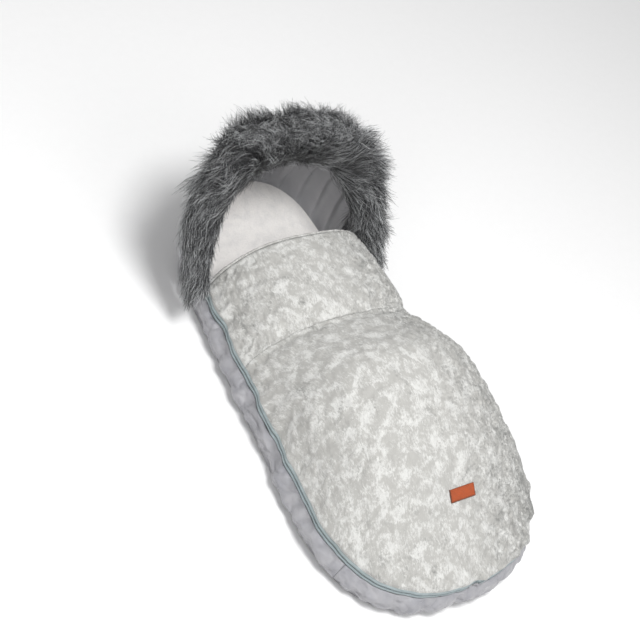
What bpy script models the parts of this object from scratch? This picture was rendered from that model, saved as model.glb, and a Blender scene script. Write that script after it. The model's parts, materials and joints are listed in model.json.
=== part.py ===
"""Stroller footmuff, laid on its back: a padded bag with a fleece back, a gathered hood with a fur
trim, and a crowned front cover in two parts that two zips close and the foot end carries.

Run with: blender --background --python part.py. Lengths are metres, +Z is up, +Y points to the head.
Shapes are worked out in the bag's own coordinates, whose Y starts at the foot end, and one empty
then puts the middle of the footmuff's base at the origin."""

from math import cos, pi, radians, sin, tan

import bmesh
import bpy
import numpy as np
from mathutils import Matrix, Vector

# Clearance between neighbouring pieces, and the roomier one beside curved walls
gap = 0.0003
wall_gap = 0.0010
seat_gap = 0.0008

# Plan of the bag at the zip line, half widths and lengths from the foot end upwards
foot_half_width = 0.218
shoulder_half_width = 0.167
foot_round_length = 0.203
lower_cover_length = 0.490
flap_length = 0.167
zip_overrun = 0.043
head_round_length = 0.155
foot_roundness = 2.56
head_roundness = 2.0

# Head end of the back, which the hood's elastic curls up off the floor
curl_angle = radians(31.5)
curl_blend_length = 0.080

# Cloths and paddings
cloth = 0.0015
lining_cloth = 0.0020
fleece = 0.0060
back_padding = 0.0140
head_padding = 0.0320
gusset_padding = 0.0080
cover_padding = 0.0100
hood_padding = 0.0060

# Gusset round the sides and the foot
gusset_bulge = 0.0120
gusset_corner_from_foot = 0.110

# Zips: the middle of the chain's height, half the band, and the chain
zip_height = 0.0550
zip_band_half = 0.0080
tape_thickness = 0.0009
tooth_row_height = 0.0020
tooth_thickness = 0.0026
chain_slot = 0.0016
bottom_stop_from_middle = 0.0040
stop_length = 0.0030

# Cover's crown above the zips, at places that are shares of the lower cover's length
crown_height = 0.165
crown_place_shares = (0, 0.16, 0.41, 0.70, 1)
crown_height_shares = (0.27, 0.39, 0.78, 1, 0.64)
flap_end_height_share = 0.66
crown_edge_power = 2.86
crown_side_power = 0.60
edge_roll_radius = 0.0026

# Joints of the cover
flap_axis_lift = 0.0010
foot_axis_clearance = 0.0010

# Leather label and the tab where the zips meet
label_length = 0.055
label_width = 0.018
label_thickness = 0.0016
label_from_foot = 0.124
label_lift = 0.0008
meeting_tab_half_length = 0.012

# Fur trim: the middle line of its roll, and the roll's radius
fur_overhang = 0.028
fur_front_before_shoulder = 0.055
fur_depth = 0.150
fur_front_height = 0.080
fur_rise = 0.195
fur_end_radius = 0.010
fur_radius = 0.040
fur_width_power = 0.76
fur_depth_power = 0.90
fur_radius_power = 1.30

# Hood between the back's head end and the fur
hood_first_angle = radians(20)
hood_front_lean = radians(55)
hood_top_lean = radians(25)
hood_side_bulge = 0.010
hood_end_bulge = 0.045
hood_base_rise = 0.040
hood_rim_run = 0.045
hood_shoulder_run_share = 0.25
hem_radius = 0.0050
hem_cloth = 0.0012
elastic_room = 0.0003
wing_lift = 0.0010
wing_thickness = 0.0040
wing_top_share = 0.92
pleat_count = 12
pleat_depth = 0.0050

# Harness slots through the back
slot_length = 0.045
slot_width = 0.012
slot_binding_width = 0.006
shoulder_slot_past_seam = 0.075
shoulder_slot_half_spacing = 0.055
waist_slot_from_foot = 0.345
waist_slot_half_spacing = 0.095
crotch_slot_from_foot = 0.265

# Sliders and pulls, in the slider's own frame: X outwards, Y along the zip to the head, Z across
slider_length = 0.0115
slider_half_width = 0.0047
slider_plate = 0.0012
slider_room = 0.0003
lip_half_gap = 0.00075
lip_from_middle = 0.0034
bridge_thickness = 0.0010
bridge_length = 0.0045
bail_post_width = 0.0015
bail_post_length = 0.0030
bail_bar_radius = 0.0012
bail_bar_height = 0.0030
pull_eye_radius = 0.0026
pull_eye_room = 0.0004
pull_eye_half_width = 0.0022
pull_length = 0.0240
pull_half_width = 0.0036
pull_neck_length = 0.0050
pull_thickness = 0.0014
pull_hole_radius = 0.0018
slider_park_from_flap = 0.0150

# Facets
cover_columns = 16
cover_straight_facets = 7
foot_facets = 7
straight_facets = 4
flap_facets = 4
head_facets = 7
back_columns = 8
hood_facets = 24
hood_rows = 5
facets_per_pleat = 4
gusset_rows = 4
wing_columns = 3
hem_sides = 8
outline_facets = 12
roll_facets = 28
round_facets = 16
foot_row_angle = radians(84)
head_row_angle = radians(80)
label_columns = 6
label_rows = 3
overrun = 0.0100
weld_distance = 0.00001
probe_share = 0.01

cover_length = lower_cover_length + flap_length
straight_length = cover_length + zip_overrun
back_length = straight_length + head_round_length
gusset_top = zip_height - zip_band_half
cover_base = zip_height + zip_band_half
gusset_stack = cloth + gusset_padding + lining_cloth + 2 * gap
hood_stack = cloth + hood_padding + pleat_depth + lining_cloth + 2 * gap
back_bottom = cloth + gap
foot_axis_y = -(tooth_thickness / 2 + foot_axis_clearance)


def smooth_through(x, places, values):
    """A monotone cubic through the given points."""
    places = np.asarray(places, float)
    values = np.asarray(values, float)
    steps = np.diff(places)
    rises = np.diff(values) / steps
    slopes = np.zeros(len(places))
    for i in range(1, len(places) - 1):
        if rises[i - 1] * rises[i] > 0:
            slopes[i] = 2 * rises[i - 1] * rises[i] / (rises[i - 1] + rises[i])
    x = min(max(x, places[0]), places[-1])
    i = min(int(np.searchsorted(places, x, side="right")) - 1, len(steps) - 1)
    t = (x - places[i]) / steps[i]
    start = values[i] * (1 + 2 * t) * (1 - t) ** 2 + slopes[i] * steps[i] * t * (1 - t) ** 2
    end = values[i + 1] * t * t * (3 - 2 * t) + slopes[i + 1] * steps[i] * t * t * (t - 1)
    return float(start + end)


def ease(t):
    t = min(max(t, 0.0), 1.0)
    return t * t * (3 - 2 * t)


def straight_half_width(y):
    """Half width of the bag on its straight tapering sides."""
    t = (y - foot_round_length) / (straight_length - foot_round_length)
    return foot_half_width + (shoulder_half_width - foot_half_width) * t


def foot_row(angle, inset):
    """(half width, y) of the plan's rounded foot: angle 0 at the side, a quarter turn at the foot."""
    width = (foot_half_width - inset) * cos(angle) ** (2 / foot_roundness)
    reach = (foot_round_length - inset) * sin(angle) ** (2 / foot_roundness)
    return width, foot_round_length - reach


def head_row(angle, inset):
    width = (shoulder_half_width - inset) * cos(angle) ** (2 / head_roundness)
    reach = (head_round_length - inset) * sin(angle) ** (2 / head_roundness)
    return width, straight_length + reach


def straight_rows(start, end, count, inset):
    rows = []
    for i in range(1, count + 1):
        y = start + (end - start) * i / count
        rows.append((straight_half_width(y) - inset, y))
    return rows


def foot_rows(inset):
    return [foot_row(foot_row_angle * (1 - i / foot_facets), inset) for i in range(foot_facets + 1)]


def crown_at(y):
    places = [share * lower_cover_length for share in crown_place_shares] + [cover_length]
    heights = [share * crown_height for share in crown_height_shares]
    return smooth_through(y, places, heights + [flap_end_height_share * crown_height])


def cover_height(x, y):
    """Height of the cover's outer face over the plan, which falls to the zips on its outline."""
    side = abs(x) / (foot_half_width if y < foot_round_length else straight_half_width(y))
    end = max(0.0, foot_round_length - y) / foot_round_length
    out = min(1.0, (side**foot_roundness + end**foot_roundness) ** (1 / foot_roundness))
    return cover_base + crown_at(y) * (1 - out**crown_edge_power) ** crown_side_power


def curl_curve(y):
    past = y - straight_length
    if past <= 0:
        return 0.0
    if past < curl_blend_length:
        return tan(curl_angle) * past**2 / (2 * curl_blend_length)
    return tan(curl_angle) * (past - curl_blend_length / 2)


def curl(y):
    """Height of the back's underside, flat on the floor up to the shoulders and then faceted."""
    knots = [head_row(head_row_angle * i / head_facets, gap)[1] for i in range(head_facets + 1)]
    heights = [curl_curve(knot) for knot in knots]
    return float(np.interp(y, knots, heights))


def back_padding_at(y):
    start = lower_cover_length + flap_length / 2
    return back_padding + (head_padding - back_padding) * ease((y - start) / head_round_length)


def padding_bottom(y):
    return curl(y) + back_bottom


def padding_top(y):
    return padding_bottom(y) + back_padding_at(y)


def lining_bottom(y):
    return padding_top(y) + gap


def lining_top(y):
    return lining_bottom(y) + fleece


def outline_point(side, distance_share):
    """Plan point and outward normal on one side: shares 0 to 1 run round the foot, 1 to 2 up the side."""
    if distance_share <= 1:
        angle = pi / 2 * (1 - distance_share)
        x, y = foot_row(angle, 0)
        across = x ** (foot_roundness - 1) / foot_half_width**foot_roundness
        end = (foot_round_length - y) ** (foot_roundness - 1) / foot_round_length**foot_roundness
        normal = Vector((across, -end, 0)).normalized()
    else:
        y = foot_round_length + (straight_length - foot_round_length) * (distance_share - 1)
        x = straight_half_width(y)
        slope = (foot_half_width - shoulder_half_width) / (straight_length - foot_round_length)
        normal = Vector((1, slope, 0)).normalized()
    normal.x *= side
    return Vector((side * x, y, 0)), normal


def side_share(y):
    """Share on outline_point's scale of a place on the straight side."""
    return 1 + (y - foot_round_length) / (straight_length - foot_round_length)


def foot_share(y):
    """Share on outline_point's scale of a place on the rounded foot."""
    reach = (foot_round_length - y) / foot_round_length
    return 1 - np.arcsin(reach ** (foot_roundness / 2)) / (pi / 2)


def foot_middle_share(x):
    """Share on outline_point's scale of a place this far from the foot's middle."""
    return 1 - np.arccos((x / foot_half_width) ** (foot_roundness / 2)) / (pi / 2)


def fur_line(angle):
    """Middle of the fur's roll: angle 0 at the right shoulder, a quarter turn over the head."""
    lift = max(sin(angle), 0.0)
    across = cos(angle)
    x = (shoulder_half_width + fur_overhang) * np.sign(across) * abs(across) ** fur_width_power
    y = straight_length - fur_front_before_shoulder + fur_depth * lift**fur_depth_power
    return Vector((x, y, fur_front_height + fur_rise * lift))


def fur_radius_at(angle):
    share = max(sin(angle), 0.0) ** fur_radius_power
    return fur_end_radius + (fur_radius - fur_end_radius) * share


def head_edge(turn):
    """Point and outward normal on the back's head edge, turn 0 at the right shoulder to pi at the left."""
    width, y = head_row(turn if turn <= pi / 2 else pi - turn, 0)
    x = width if turn <= pi / 2 else -width
    across = x / shoulder_half_width**2
    along = (y - straight_length) / head_round_length**2
    return Vector((x, y, curl(y) + cloth + seat_gap)), Vector((across, along, 0)).normalized()


def fur_angle(turn):
    return hood_first_angle + (pi - 2 * hood_first_angle) * turn / pi


def fur_tangent(angle):
    return (fur_line(angle + probe_share) - fur_line(angle - probe_share)).normalized()


def rim_direction(turn):
    """Way that the hood runs into its hem: square to the fur's line, leaning to the opening."""
    lean = hood_front_lean + (hood_top_lean - hood_front_lean) * sin(turn)
    towards = Vector((0, -sin(lean), cos(lean)))
    along = fur_tangent(fur_angle(turn))
    return (towards - along * towards.dot(along)).normalized()


def hem_line(turn):
    angle = fur_angle(turn)
    back_off = fur_radius_at(angle) + gap + hem_radius
    return fur_line(angle) - rim_direction(turn) * back_off


def hood_section(turn, t):
    """Point of the hood's outer face, t from 0 on the back's edge to 1 at the hem."""
    base, normal = head_edge(turn)
    up = Vector((0, 0, 1))
    direction = rim_direction(turn)
    rim = hem_line(turn) - direction * (hem_radius + gap)
    bulge = hood_side_bulge + (hood_end_bulge - hood_side_bulge) * sin(turn)
    first = base + normal * bulge + up * hood_base_rise
    run = hood_rim_run * (hood_shoulder_run_share + (1 - hood_shoulder_run_share) * sin(turn))
    second = rim - direction * run
    s = 1 - t
    return base * s**3 + first * (3 * s * s * t) + second * (3 * s * t * t) + rim * t**3


def hood_normal(turn, t):
    a = max(turn - probe_share, 0.0)
    b = min(turn + probe_share, pi)
    low = max(t - probe_share, 0.0)
    high = min(t + probe_share, 1.0)
    round_way = hood_section(b, t) - hood_section(a, t)
    up_way = hood_section(turn, high) - hood_section(turn, low)
    return round_way.cross(up_way).normalized()


def finish(name, colour, roughness, metallic=0.0):
    """A plain Principled material."""
    material = bpy.data.materials.new(name)
    material.use_nodes = True
    shader = material.node_tree.nodes["Principled BSDF"]
    shader.inputs["Base Color"].default_value = (*colour, 1)
    shader.inputs["Roughness"].default_value = roughness
    shader.inputs["Metallic"].default_value = metallic
    material.diffuse_color = (*colour, 1)
    return material


def add_object(name, data, material, parent, collection):
    part = bpy.data.objects.new(name, data)
    collection.objects.link(part)
    part.parent = parent
    part.location = -bag_location(parent)
    if material:
        part.data.materials.append(material)
    return part


def bag_location(empty):
    """Where an empty lies in the bag's coordinates."""
    place = Vector((0, 0, 0))
    while empty and empty.name != "footmuff":
        place += empty.location
        empty = empty.parent
    return place


def mapped_grid(name, columns, rows, place):
    """A grid whose corners run from (0, 0) to (1, 1), each vertex moved to place(u, v)."""
    bm = bmesh.new()
    bmesh.ops.create_grid(bm, x_segments=columns, y_segments=rows, size=0.5)
    for vertex in bm.verts:
        u = vertex.co.x + 0.5
        v = vertex.co.y + 0.5
        vertex.co = place(u, v)
    mesh = bpy.data.meshes.new(name)
    bm.to_mesh(mesh)
    bm.free()
    mesh.shade_smooth()
    return mesh


def mapped_block(name, columns, rows, place):
    """A closed grid slab, each vertex moved to place(u, v, w), w 0 on one face and 1 on the other."""
    bm = bmesh.new()
    bmesh.ops.create_grid(bm, x_segments=columns, y_segments=rows, size=0.5)
    raised = bmesh.ops.extrude_face_region(bm, geom=bm.faces[:])
    far = {item for item in raised["geom"] if isinstance(item, bmesh.types.BMVert)}
    for vertex in bm.verts:
        u = vertex.co.x + 0.5
        v = vertex.co.y + 0.5
        vertex.co = place(u, v, 1 if vertex in far else 0)
    bmesh.ops.recalc_face_normals(bm, faces=bm.faces[:])
    mesh = bpy.data.meshes.new(name)
    bm.to_mesh(mesh)
    bm.free()
    return mesh


def thicken(part, outer, inner):
    """Solidify between two depths under the mesh's own face, outer the smaller."""
    layer = part.modifiers.new("thickness", "SOLIDIFY")
    layer.thickness = inner - outer
    layer.offset = -1 - 2 * outer / (inner - outer)
    return part


def layers(stem, parts, mesh, parent, collection, start=0.0):
    """Outer cloth, padding and lining on one face, each a gap under the one before."""
    depth = start
    for suffix, thickness, material in parts:
        part = add_object(f"{stem}_{suffix}", mesh, None, parent, collection)
        if not mesh.materials:
            mesh.materials.append(material)
        part.material_slots[0].link = "OBJECT"
        part.material_slots[0].material = material
        thicken(part, depth, depth + thickness)
        depth += thickness + gap


def row_place(rows, height, edge_height=None):
    """Place function for a face whose rows are (half width, y), dense towards both sides."""

    def place(u, v):
        index = min(int(round(v * (len(rows) - 1))), len(rows) - 1)
        half_width, y = rows[index]
        x = half_width * sin(pi / 2 * (2 * u - 1))
        if index == 0 and edge_height is not None:
            return Vector((x, y, edge_height))
        return Vector((x, y, height(x, y)))

    return place


def path_strip(name, stations, low, high, material, parent, collection, thickness, shift=0.0):
    """An upright strip along plan stations, between two heights, with its middle on them."""
    count = len(stations) - 1

    def place(u, v):
        point, normal = stations[int(round(u * count))]
        return point + normal * shift + Vector((0, 0, low + (high - low) * v))

    part = add_object(name, mapped_grid(name, count, 1, place), material, parent, collection)
    return thicken(part, -thickness / 2, thickness / 2)


def stations_between(side, first, last):
    """Outline points from one share to another, with the rounded foot in equal turns."""
    shares = [first]
    shares += [i / outline_facets for i in range(outline_facets + 1) if first < i / outline_facets < last]
    shares.append(last)
    found = [outline_point(side, share) for share in shares]
    return found if side > 0 else found[::-1]


def tube(name, points, radii, material, parent, collection, caps=True, resolution=2):
    curve = bpy.data.curves.new(name, "CURVE")
    curve.dimensions = "3D"
    spline = curve.splines.new("POLY")
    spline.points.add(len(points) - 1)
    largest = max(radii)
    for spline_point, point, radius in zip(spline.points, points, radii):
        spline_point.co = (*point, 1)
        spline_point.radius = radius / largest
    curve.bevel_depth = largest
    curve.bevel_resolution = resolution
    curve.use_fill_caps = caps
    return add_object(name, curve, material, parent, collection)


def flat_outline(name, outlines, thickness, collection):
    """A mesh object from closed outlines in the XY plane, extruded evenly about it."""
    curve = bpy.data.curves.new(name, "CURVE")
    curve.dimensions = "2D"
    curve.fill_mode = "BOTH"
    curve.extrude = thickness / 2
    for outline in outlines:
        spline = curve.splines.new("POLY")
        spline.points.add(len(outline) - 1)
        for spline_point, (x, y) in zip(spline.points, outline):
            spline_point.co = (x, y, 0, 1)
        spline.use_cyclic_u = True
    source = bpy.data.objects.new(name + "_outline", curve)
    collection.objects.link(source)
    graph = bpy.context.evaluated_depsgraph_get()
    mesh = bpy.data.meshes.new_from_object(source.evaluated_get(graph))
    bpy.data.objects.remove(source)
    mesh.name = name
    bm = bmesh.new()
    bm.from_mesh(mesh)
    bmesh.ops.remove_doubles(bm, verts=bm.verts, dist=weld_distance)
    bm.to_mesh(mesh)
    bm.free()
    mesh.materials.clear()
    return mesh


def box_mesh(name, low, high):
    bm = bmesh.new()
    size = Vector(high) - Vector(low)
    middle = (Vector(high) + Vector(low)) / 2
    bmesh.ops.create_cube(bm, size=1, matrix=Matrix.LocRotScale(middle, None, size))
    mesh = bpy.data.meshes.new(name)
    bm.to_mesh(mesh)
    bm.free()
    return mesh


def rod_mesh(name, radius, low, high, x):
    """A cylinder along Z between two heights, at a given X."""
    bm = bmesh.new()
    place = Matrix.Translation((x, 0, (low + high) / 2))
    bmesh.ops.create_cone(
        bm,
        cap_ends=True,
        segments=round_facets,
        radius1=radius,
        radius2=radius,
        depth=high - low,
        matrix=place,
    )
    mesh = bpy.data.meshes.new(name)
    bm.to_mesh(mesh)
    bm.free()
    return mesh


def combine(part, mesh, operation, helpers):
    """Adds or cuts one helper mesh with a Boolean modifier."""
    helper = bpy.data.objects.new(f"{part.name}_{mesh.name}", mesh)
    helpers.objects.link(helper)
    helper.parent = part
    helper.hide_render = True
    helper.display_type = "WIRE"
    step = part.modifiers.new(mesh.name, "BOOLEAN")
    step.operation = operation
    step.object = helper


def clear_scene():
    for item in list(bpy.data.objects):
        bpy.data.objects.remove(item)


def slot_places():
    """(name, x, y) of the middle of each harness slot."""
    shoulder = lower_cover_length + shoulder_slot_past_seam
    return (
        ("shoulder_left", -shoulder_slot_half_spacing, shoulder),
        ("shoulder_right", shoulder_slot_half_spacing, shoulder),
        ("waist_left", -waist_slot_half_spacing, waist_slot_from_foot),
        ("waist_right", waist_slot_half_spacing, waist_slot_from_foot),
        ("crotch", 0.0, crotch_slot_from_foot),
    )


def slab(name, inset, lower, upper, material, parent, collection):
    """A padded layer of the back over its whole plan, from one height to another."""
    rows = foot_rows(inset)
    rows += straight_rows(foot_round_length, straight_length, straight_facets, inset)
    for i in range(1, head_facets + 1):
        rows.append(head_row(head_row_angle * i / head_facets, inset))
    low = row_place(rows, lambda x, y: lower(y))
    high = row_place(rows, lambda x, y: upper(y))
    mesh = mapped_block(name, back_columns, len(rows) - 1, lambda u, v, w: high(u, v) if w else low(u, v))
    return add_object(name, mesh, material, parent, collection)


def make_back(root, pieces, helpers, looks):
    """Underside cloth, padding and fleece, all pierced by the harness slots."""
    inset = gusset_stack + wall_gap
    outer = slab("back_outer", gap, curl, lambda y: curl(y) + cloth, looks["shell"], root, pieces)
    padding = slab("back_padding", inset, padding_bottom, padding_top, looks["padding"], root, pieces)
    lining = slab("back_fleece", inset, lining_bottom, lining_top, looks["fleece"], root, pieces)
    for slot, x, y in slot_places():
        low = (x - slot_length / 2, y - slot_width / 2, -overrun)
        high = (x + slot_length / 2, y + slot_width / 2, lining_top(y) + overrun)
        for layer in (outer, padding, lining):
            combine(layer, box_mesh(f"{slot}_cut", low, high), "DIFFERENCE", helpers)
        make_slot_binding(slot, x, y, root, pieces, looks)


def rectangle(x, y, half_length, half_width):
    return [
        (x - half_length, y - half_width),
        (x + half_length, y - half_width),
        (x + half_length, y + half_width),
        (x - half_length, y + half_width),
    ]


def make_slot_binding(slot, x, y, root, pieces, looks):
    """A stitched frame of tape round one slot, on the fleece."""
    name = f"slot_binding_{slot}"
    outside = rectangle(x, y, slot_length / 2 + slot_binding_width, slot_width / 2 + slot_binding_width)
    inside = rectangle(x, y, slot_length / 2, slot_width / 2)
    mesh = flat_outline(name, (outside, inside), cloth, pieces)
    part = add_object(name, mesh, looks["tape"], root, pieces)
    part.location.z += lining_top(y) + gap + cloth / 2


def gusset_layer(name, stations, outer, inner, material, parent, collection):
    """One layer of an upright wall along plan stations, between two depths under its bulging face."""
    count = len(stations) - 1
    low = back_bottom
    high = gusset_top - gap

    def place(u, v, w):
        point, normal = stations[int(round(u * count))]
        out = gusset_bulge * sin(pi * v) - (inner if w else outer)
        return point + normal * out + Vector((0, 0, low + (high - low) * v))

    add_object(name, mapped_block(name, count, gusset_rows, place), material, parent, collection)


def make_gussets(root, pieces, looks):
    """Padded walls: one up each side, and one round the foot between the two corner seams."""
    parts = (
        ("outer", cloth, looks["shell"]),
        ("padding", gusset_padding, looks["padding"]),
        ("lining", lining_cloth, looks["fleece"]),
    )
    corner = foot_share(gusset_corner_from_foot)
    seam = gap / (foot_half_width + foot_round_length)
    top = side_share(straight_length) - gap / straight_length
    foot = stations_between(-1, 0, corner - seam)[:-1] + stations_between(1, 0, corner - seam)
    runs = {
        "gusset_left": stations_between(-1, corner + seam, top),
        "gusset_right": stations_between(1, corner + seam, top),
        "gusset_foot": foot,
    }
    for stem, stations in runs.items():
        depth = 0.0
        for suffix, thickness, material in parts:
            gusset_layer(f"{stem}_{suffix}", stations, depth, depth + thickness, material, root, pieces)
            depth += thickness + gap


def make_cover(cover, flap, pieces, looks):
    parts = (
        ("outer", cloth, looks["print"]),
        ("padding", cover_padding, looks["padding"]),
        ("lining", lining_cloth, looks["fleece"]),
    )
    rows = foot_rows(0)
    rows += straight_rows(foot_round_length, lower_cover_length - gap / 2, cover_straight_facets, 0)
    place = row_place(rows, cover_height, cover_base)
    mesh = mapped_grid("cover_lower", cover_columns, len(rows) - 1, place)
    layers("cover_lower", parts, mesh, cover, pieces)

    start = lower_cover_length + gap / 2
    rows = [(straight_half_width(start), start)]
    rows += straight_rows(start, cover_length, flap_facets, 0)
    mesh = mapped_grid("cover_flap", cover_columns, flap_facets, row_place(rows, cover_height))
    layers("cover_flap", parts, mesh, flap, pieces)
    make_edge_roll(flap, pieces, looks)


def make_edge_roll(flap, pieces, looks):
    """The thin rolled hem along the flap's free edge, level with the outer cloth."""
    points = []
    half_width = straight_half_width(cover_length) - edge_roll_radius
    for i in range(roll_facets + 1):
        x = half_width * sin(pi / 2 * (2 * i / roll_facets - 1))
        y = cover_length + gap + edge_roll_radius
        height = cover_height(x, cover_length) - edge_roll_radius
        points.append(Vector((x, y, max(height, cover_base + edge_roll_radius))))
    tube("flap_edge_roll", points, [edge_roll_radius] * len(points), looks["print"], flap, pieces)


def make_label(cover, pieces, looks):
    """A bare leather label that follows the cover, centred over the foot."""

    def place(u, v):
        x = label_length * (u - 0.5)
        y = label_from_foot + label_width * (v - 0.5)
        return Vector((x, y, cover_height(x, y) + label_lift))

    mesh = mapped_grid("leather_label", label_columns, label_rows, place)
    part = add_object("leather_label", mesh, looks["leather"], cover, pieces)
    thicken(part, -label_thickness, 0.0)


def make_zip(side, root, cover, flap, pieces, looks):
    """One zip: tapes and tooth rows of the gusset, the lower cover and the flap, and their stops."""
    stem = "zip_right" if side > 0 else "zip_left"
    row_near = chain_slot / 2
    row_far = row_near + tooth_row_height
    start = gap / foot_half_width
    seam = side_share(lower_cover_length)
    seam_gap = gap / straight_length
    flap_top = side_share(cover_length)
    top = side_share(straight_length) - seam_gap
    stop = stop_length / (straight_length - foot_round_length)
    runs = (
        ("gusset", root, -1, start, top),
        ("cover", cover, 1, start, seam - seam_gap),
        ("flap", flap, 1, seam + seam_gap, flap_top),
    )
    for name, parent, way, first, last in runs:
        has_stop = name != "cover"
        row_end = last - stop - seam_gap if has_stop else last
        tape = sorted((zip_height + way * (row_far + gap), zip_height + way * (zip_band_half - gap)))
        row = sorted((zip_height + way * row_near, zip_height + way * row_far))
        tape_run = stations_between(side, first, last)
        row_run = stations_between(side, first, row_end)
        path_strip(f"{stem}_{name}_tape", tape_run, *tape, looks["tape"], parent, pieces, tape_thickness)
        path_strip(f"{stem}_{name}_teeth", row_run, *row, looks["teeth"], parent, pieces, tooth_thickness)
        if has_stop:
            stop_run = stations_between(side, last - stop, last)
            stop_name = f"{stem}_{name}_stop"
            path_strip(stop_name, stop_run, *row, looks["metal"], parent, pieces, tooth_thickness)
    near = foot_middle_share(bottom_stop_from_middle)
    far = foot_middle_share(bottom_stop_from_middle + stop_length)
    low = zip_height - row_near + gap
    high = zip_height + row_near - gap
    ends = stations_between(side, near, far)
    path_strip(f"{stem}_bottom_stop", ends, low, high, looks["metal"], root, pieces, tooth_thickness)


def make_meeting_tab(root, pieces, looks):
    """The small sewn tab under the foot's middle, where the two zips meet."""
    reach = foot_middle_share(meeting_tab_half_length)
    stations = [stations_between(-1, 0, reach)[0], stations_between(1, 0, reach)[-1]]
    low = gusset_top + gap
    high = zip_height - chain_slot / 2 - tooth_row_height - gap
    outwards = tape_thickness / 2 + gap + cloth / 2
    path_strip("zip_meeting_tab", stations, low, high, looks["shell"], root, pieces, cloth, outwards)


def slider_frame(side):
    """Matrix from a slider's own frame to the bag's, at its parked place beyond the flap."""
    y = cover_length + slider_park_from_flap
    point, outward = outline_point(side, side_share(y))
    along = Vector((-outward.y, outward.x, 0)) * side
    across = outward.cross(along)
    turn = Matrix((outward, along, across)).transposed().to_4x4()
    return Matrix.Translation(point + Vector((0, 0, zip_height))) @ turn


def clip_outline():
    """Section of one plate with the two lips that hold the chain, X outwards and Z across."""
    inner = tooth_thickness / 2 + slider_room
    outer = inner + slider_plate
    half = slider_half_width
    lip = lip_from_middle
    near = lip_half_gap
    return [
        (outer, -half),
        (outer, half),
        (near, half),
        (near, lip),
        (inner, lip),
        (inner, -lip),
        (near, -lip),
        (near, -half),
    ]


def make_slider(side, root, pieces, helpers, looks):
    """Slider body: two lipped plates joined by the wedge between the tooth rows, and the bail."""
    stem = "right" if side > 0 else "left"
    plate_face = tooth_thickness / 2 + slider_room + slider_plate
    mesh = flat_outline(f"slider_{stem}", (clip_outline(),), slider_length, pieces)
    # The section was drawn in XY, and stands along the zip once its Y becomes the frame's Z.
    mesh.transform(Matrix.Rotation(pi / 2, 4, "X"))
    body = bpy.data.objects.new(f"slider_{stem}", mesh)
    pieces.objects.link(body)
    body.parent = root
    body.matrix_local = slider_frame(side)
    mesh.materials.append(looks["metal"])

    inner_plate = mesh.copy()
    inner_plate.name = "inner_plate"
    inner_plate.transform(Matrix.Rotation(pi, 4, "Z"))
    half_bridge = bridge_thickness / 2
    reach = tooth_thickness / 2 + slider_room + slider_plate / 2
    bridge_end = slider_length / 2 - slider_plate
    bridge_low = (-reach, bridge_end - bridge_length, -half_bridge)
    combine(body, box_mesh("wedge", bridge_low, (reach, bridge_end, half_bridge)), "UNION", helpers)
    combine(body, inner_plate, "UNION", helpers)

    bar_x = plate_face + bail_bar_height
    post_near = pull_eye_half_width + pull_eye_room
    post_far = post_near + bail_post_width
    for name, way in (("post_up", 1), ("post_down", -1)):
        heights = sorted((way * post_near, way * post_far))
        low = (plate_face - slider_plate / 2, -bail_post_length / 2, heights[0])
        high = (bar_x + bail_bar_radius, bail_post_length / 2, heights[1])
        combine(body, box_mesh(name, low, high), "UNION", helpers)
    half_bar = (post_near + post_far) / 2
    combine(body, rod_mesh("bar", bail_bar_radius, -half_bar, half_bar, bar_x), "UNION", helpers)
    return body, bar_x


def make_pull(stem, body, bar_x, pieces, helpers, looks):
    """Pull tab: an eye that turns on the bail's bar, a neck and a wider end with a hole."""
    eye_bore = bail_bar_radius + pull_eye_room
    eye = rod_mesh("eye", pull_eye_radius, -pull_eye_half_width, pull_eye_half_width, 0)
    pull = bpy.data.objects.new(f"pull_{stem}", eye)
    pieces.objects.link(pull)
    pull.parent = body
    pull.location = (bar_x, 0, 0)
    eye.materials.append(looks["metal"])
    half = pull_thickness / 2
    neck_end = -pull_neck_length - gap
    neck = box_mesh("neck", (-half, neck_end, -pull_eye_half_width), (half, -eye_bore, pull_eye_half_width))
    low = (-half, -pull_length, -pull_half_width)
    end = box_mesh("end", low, (half, -pull_neck_length, pull_half_width))
    combine(pull, neck, "UNION", helpers)
    combine(pull, end, "UNION", helpers)
    combine(pull, rod_mesh("bore", eye_bore, -overrun, overrun, 0), "DIFFERENCE", helpers)
    hole = rod_mesh("hole", pull_hole_radius, -overrun, overrun, 0)
    middle = Matrix.Translation((0, pull_half_width - pull_length, 0))
    hole.transform(middle @ Matrix.Rotation(pi / 2, 4, "Y"))
    combine(pull, hole, "DIFFERENCE", helpers)
    return pull


def make_hood(root, pieces, looks):
    """The gathered head end: outer cloth, padding, and a lining laid in pleats."""

    def place_at(depth, pleats=0):
        def place(u, v):
            turn = pi * u
            fold = pleat_depth * (1 - cos(2 * pi * pleats * u)) / 2 if pleats else 0.0
            point = hood_section(turn, v)
            return point - hood_normal(turn, v) * (depth + fold * sin(pi / 2 * v))

        return place

    parts = (("outer", cloth, looks["shell"]), ("padding", hood_padding, looks["padding"]))
    mesh = mapped_grid("hood", hood_facets, hood_rows, place_at(0.0))
    layers("hood", parts, mesh, root, pieces)
    lining_depth = cloth + gap + hood_padding + wall_gap
    facets = pleat_count * facets_per_pleat
    mesh = mapped_grid("hood_lining", facets, hood_rows, place_at(lining_depth, pleat_count))
    part = add_object("hood_lining", mesh, looks["lining"], root, pieces)
    thicken(part, 0.0, lining_cloth)


def hood_front_edge(t):
    """The hood's right front edge as its facets run, t from 0 on the back to 1 at the rim."""
    row = min(int(t * hood_rows), hood_rows - 1)
    low = hood_section(0, row / hood_rows)
    return low.lerp(hood_section(0, (row + 1) / hood_rows), t * hood_rows - row)


def hood_share_at(height):
    """Where up the hood's front edge it reaches a height."""
    shares = [i / hood_rows for i in range(hood_rows + 1)]
    return float(np.interp(height, [hood_front_edge(t).z for t in shares], shares))


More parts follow.
